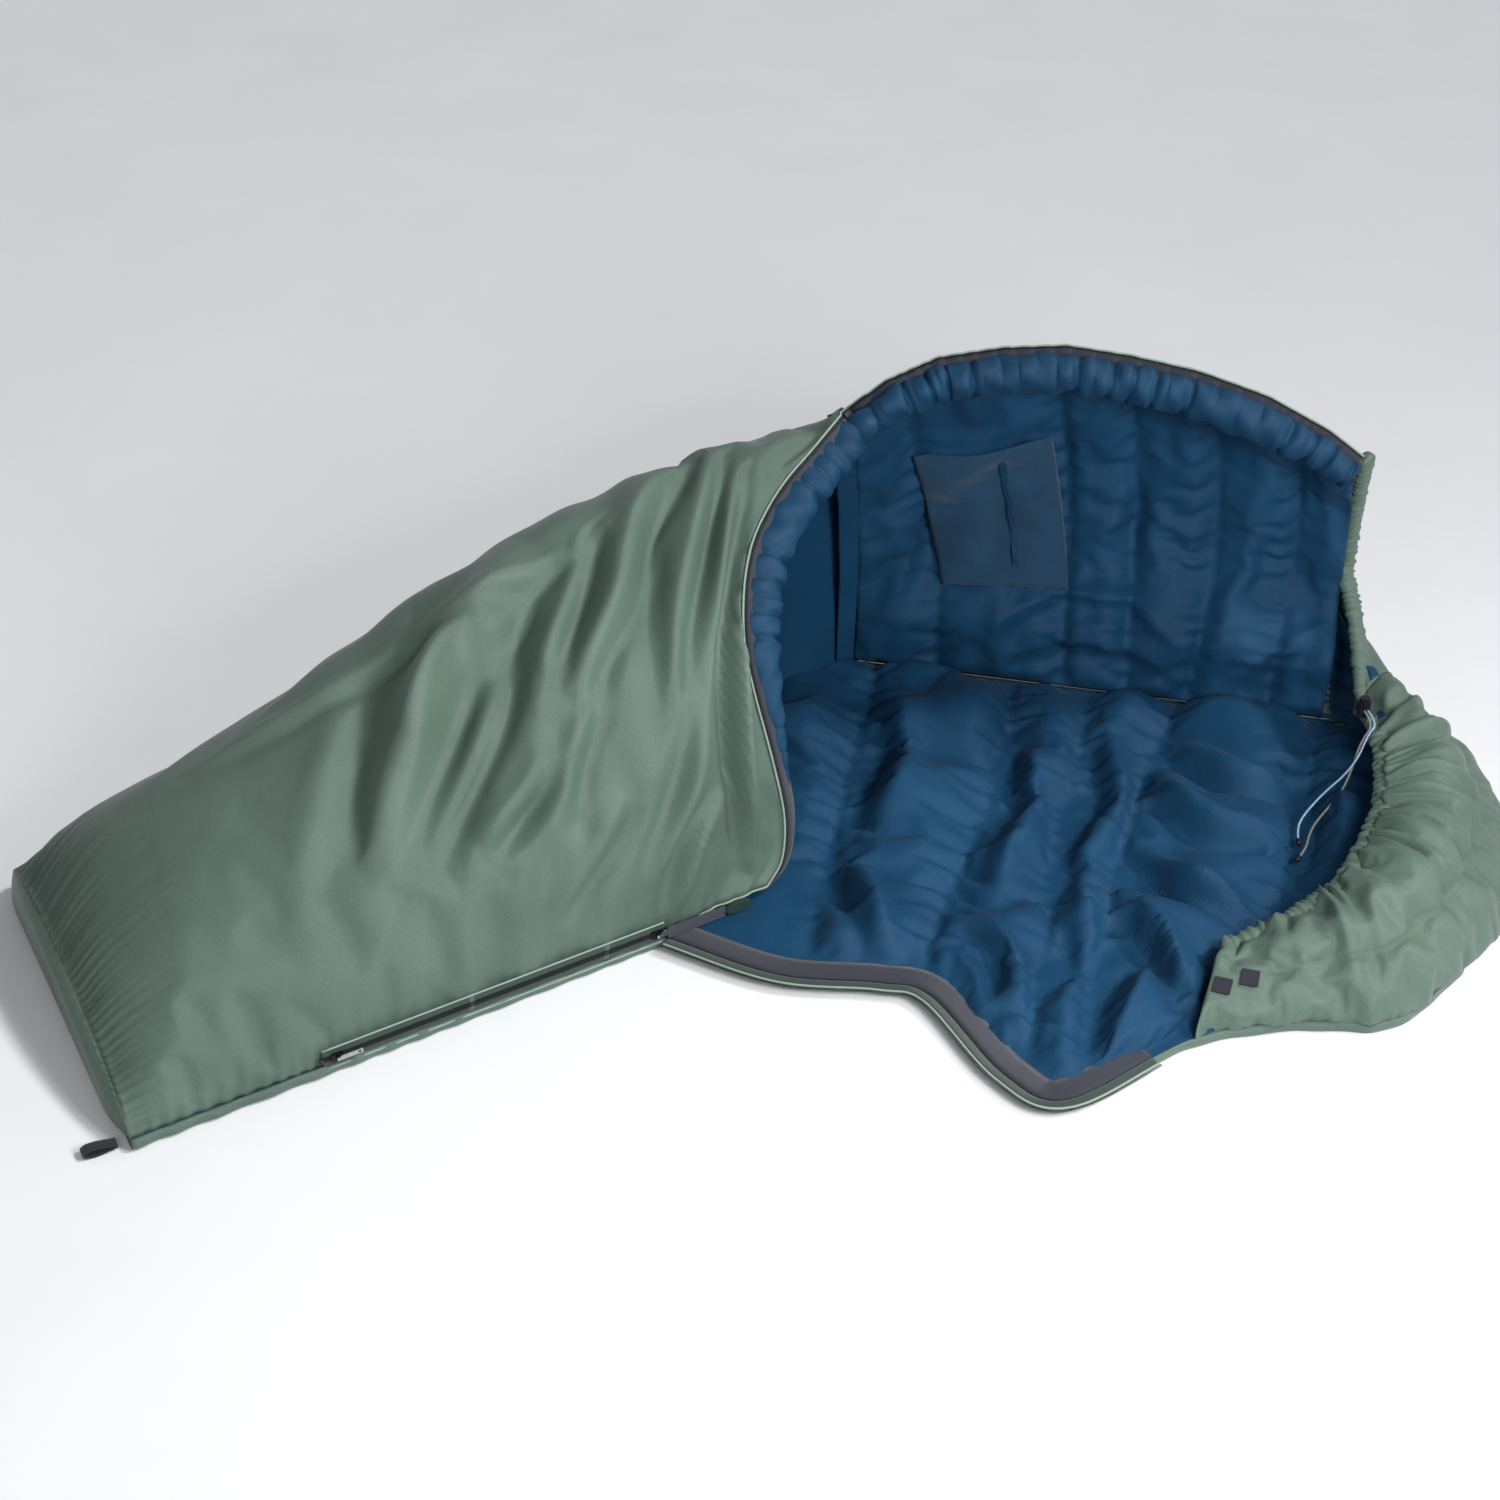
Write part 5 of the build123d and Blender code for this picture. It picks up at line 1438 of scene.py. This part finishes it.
def casing(name, line, radius, toward, material, ripple, **facts):
    run = blur(np.gradient(line, axis=0), 4)
    run /= np.linalg.norm(run, axis=1, keepdims=True)
    side = np.array(toward) - line
    side -= np.sum(side * run, axis=1, keepdims=True) * run
    side /= np.linalg.norm(side, axis=1, keepdims=True)
    up = np.cross(side, run)
    size = radius * (0.45 + 0.55 * lock_room(line))
    return sleeve(name, line, size * 1.25, size * 0.9, (side, up), 22, ripple, material=material, **facts)


rim_line = resample(hood[:, 0], 460)
casing("hood_rim_gathers", rim_line - np.array((0, 0, 0.006)), 0.0125, (0.690, -0.020, 0.10),
       gathered_shell,
       gathers(3, 0.20), body="root", slot="shell_fabric", stands_for=("hood_casing",))
neck_line = resample(flap_neck[::-1][5:], neck_count)
neck_line[:, 0] += 0.006
flap_pieces.append(casing("neck_gathers", neck_line, 0.0110, (0.5, 0.1, 0.25), gathered_shell,
                          gathers(8, 0.20),
                          slot="shell_fabric", stands_for=("neck_casing",)))

# the gusset closes the gap between the raised layer's neck edge and the hood's far end
hood_end = hood[-1][::-1]
neck_rail = resample(flap_neck[:44], 40)
hood_rail = resample(hood_end, 40)
gusset_rows = np.linspace(0, 1, 26)
gusset = neck_rail[None] * (1 - gusset_rows)[:, None, None] + hood_rail[None] * gusset_rows[:, None, None]
g_row, g_col = np.meshgrid(gusset_rows, np.linspace(0, 1, 40), indexing="ij")
gusset += (np.array((0.3, 0.6, 0.2))
           * (0.012 * np.sin(np.pi * g_row) * (1 + 0.4 * np.sin(g_col * 40)))[..., None])
gusset_skin = cloth("neck_gusset", gusset, gathered_shell, None, "shell_fabric")
face_toward(gusset_skin, (1.4, 1.2, 0.6))
gusset_in = (gusset - np.array((0.010, 0.012, 0.0)))[:, :31]
gusset_lining = cloth("neck_gusset_lining", gusset_in, lining_plain, None, "lining_fabric")
face_toward(gusset_lining, (0.4, -0.6, 0.4))
for piece in (gusset_skin, gusset_lining):
    thicken(piece, 0.0012)
gusset_top = gusset[:, -1]
gusset_hem = casing("gusset_gathers", resample(gusset_top, 70), 0.0115, (0.5, 0.0, 0.3), gathered_shell,
                    gathers(12, 0.2),
                    slot="shell_fabric")

# ---------------------------------------------------------------- spring in the cord lock
WIRE_RADIUS = 0.0005
SPRING_TURNS = 5
spring_low, spring_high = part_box("cord_lock_spring")
spring_foot = Vector(((spring_low.x + spring_high.x) / 2, (spring_low.y + spring_high.y) / 2, spring_low.z))
spring_reach = (spring_high.x - spring_low.x) / 2 - WIRE_RADIUS
spring_turn = np.linspace(0, 2 * np.pi * SPRING_TURNS, 24 * SPRING_TURNS)
spring_line = np.stack([spring_foot.x + spring_reach * np.cos(spring_turn),
                        spring_foot.y + spring_reach * np.sin(spring_turn),
                        np.linspace(spring_low.z + WIRE_RADIUS, spring_high.z - WIRE_RADIUS,
                                    len(spring_turn))], axis=1)
spring = cord_line("lock_spring_wire", spring_line, WIRE_RADIUS, spring_wire, body="cord_lock",
                   slot="spring_steel", stands_for=("cord_lock_spring",))
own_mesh(spring)

# ---------------------------------------------------------------- placements of the top layer's pieces, baked into their meshes
for piece in flap_pieces:
    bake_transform(piece)
for piece in (gusset_skin, gusset_lining, gusset_hem):
    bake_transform(piece)

# ---------------------------------------------------------------- carried-over pieces
NODE_FINISH = {
    "zip_tape_top": tape_cloth, "zip_tape_bottom": tape_cloth, "zip_end_stop": coil_plastic,
    "lower_slider": slider_black, "main_slider": slider_black, "lower_puller": pull_metal,
    "main_puller_link": pull_metal, "main_puller_strap": strap_web, "main_puller_grip": rubber,
    "hook_square": hook_nap, "loop_square": hook_nap, "cord_lock_body": lock_black,
    "cord_lock_plunger": lock_black, "hood_cord_end": lock_black,
    "collar_cord_end": lock_black, "cord_anchor_tab": web_black, "hood_drawcord": grey_braid,
}
for name, material in NODE_FINISH.items():
    dress(nodes[name], material)

bpy.ops.object.select_all(action="DESELECT")
bpy.ops.mesh.primitive_plane_add(size=30, location=(0, 0, -0.0005))
floor = bpy.context.object
floor.name = "studio_floor"
dress(floor, floor_paint)
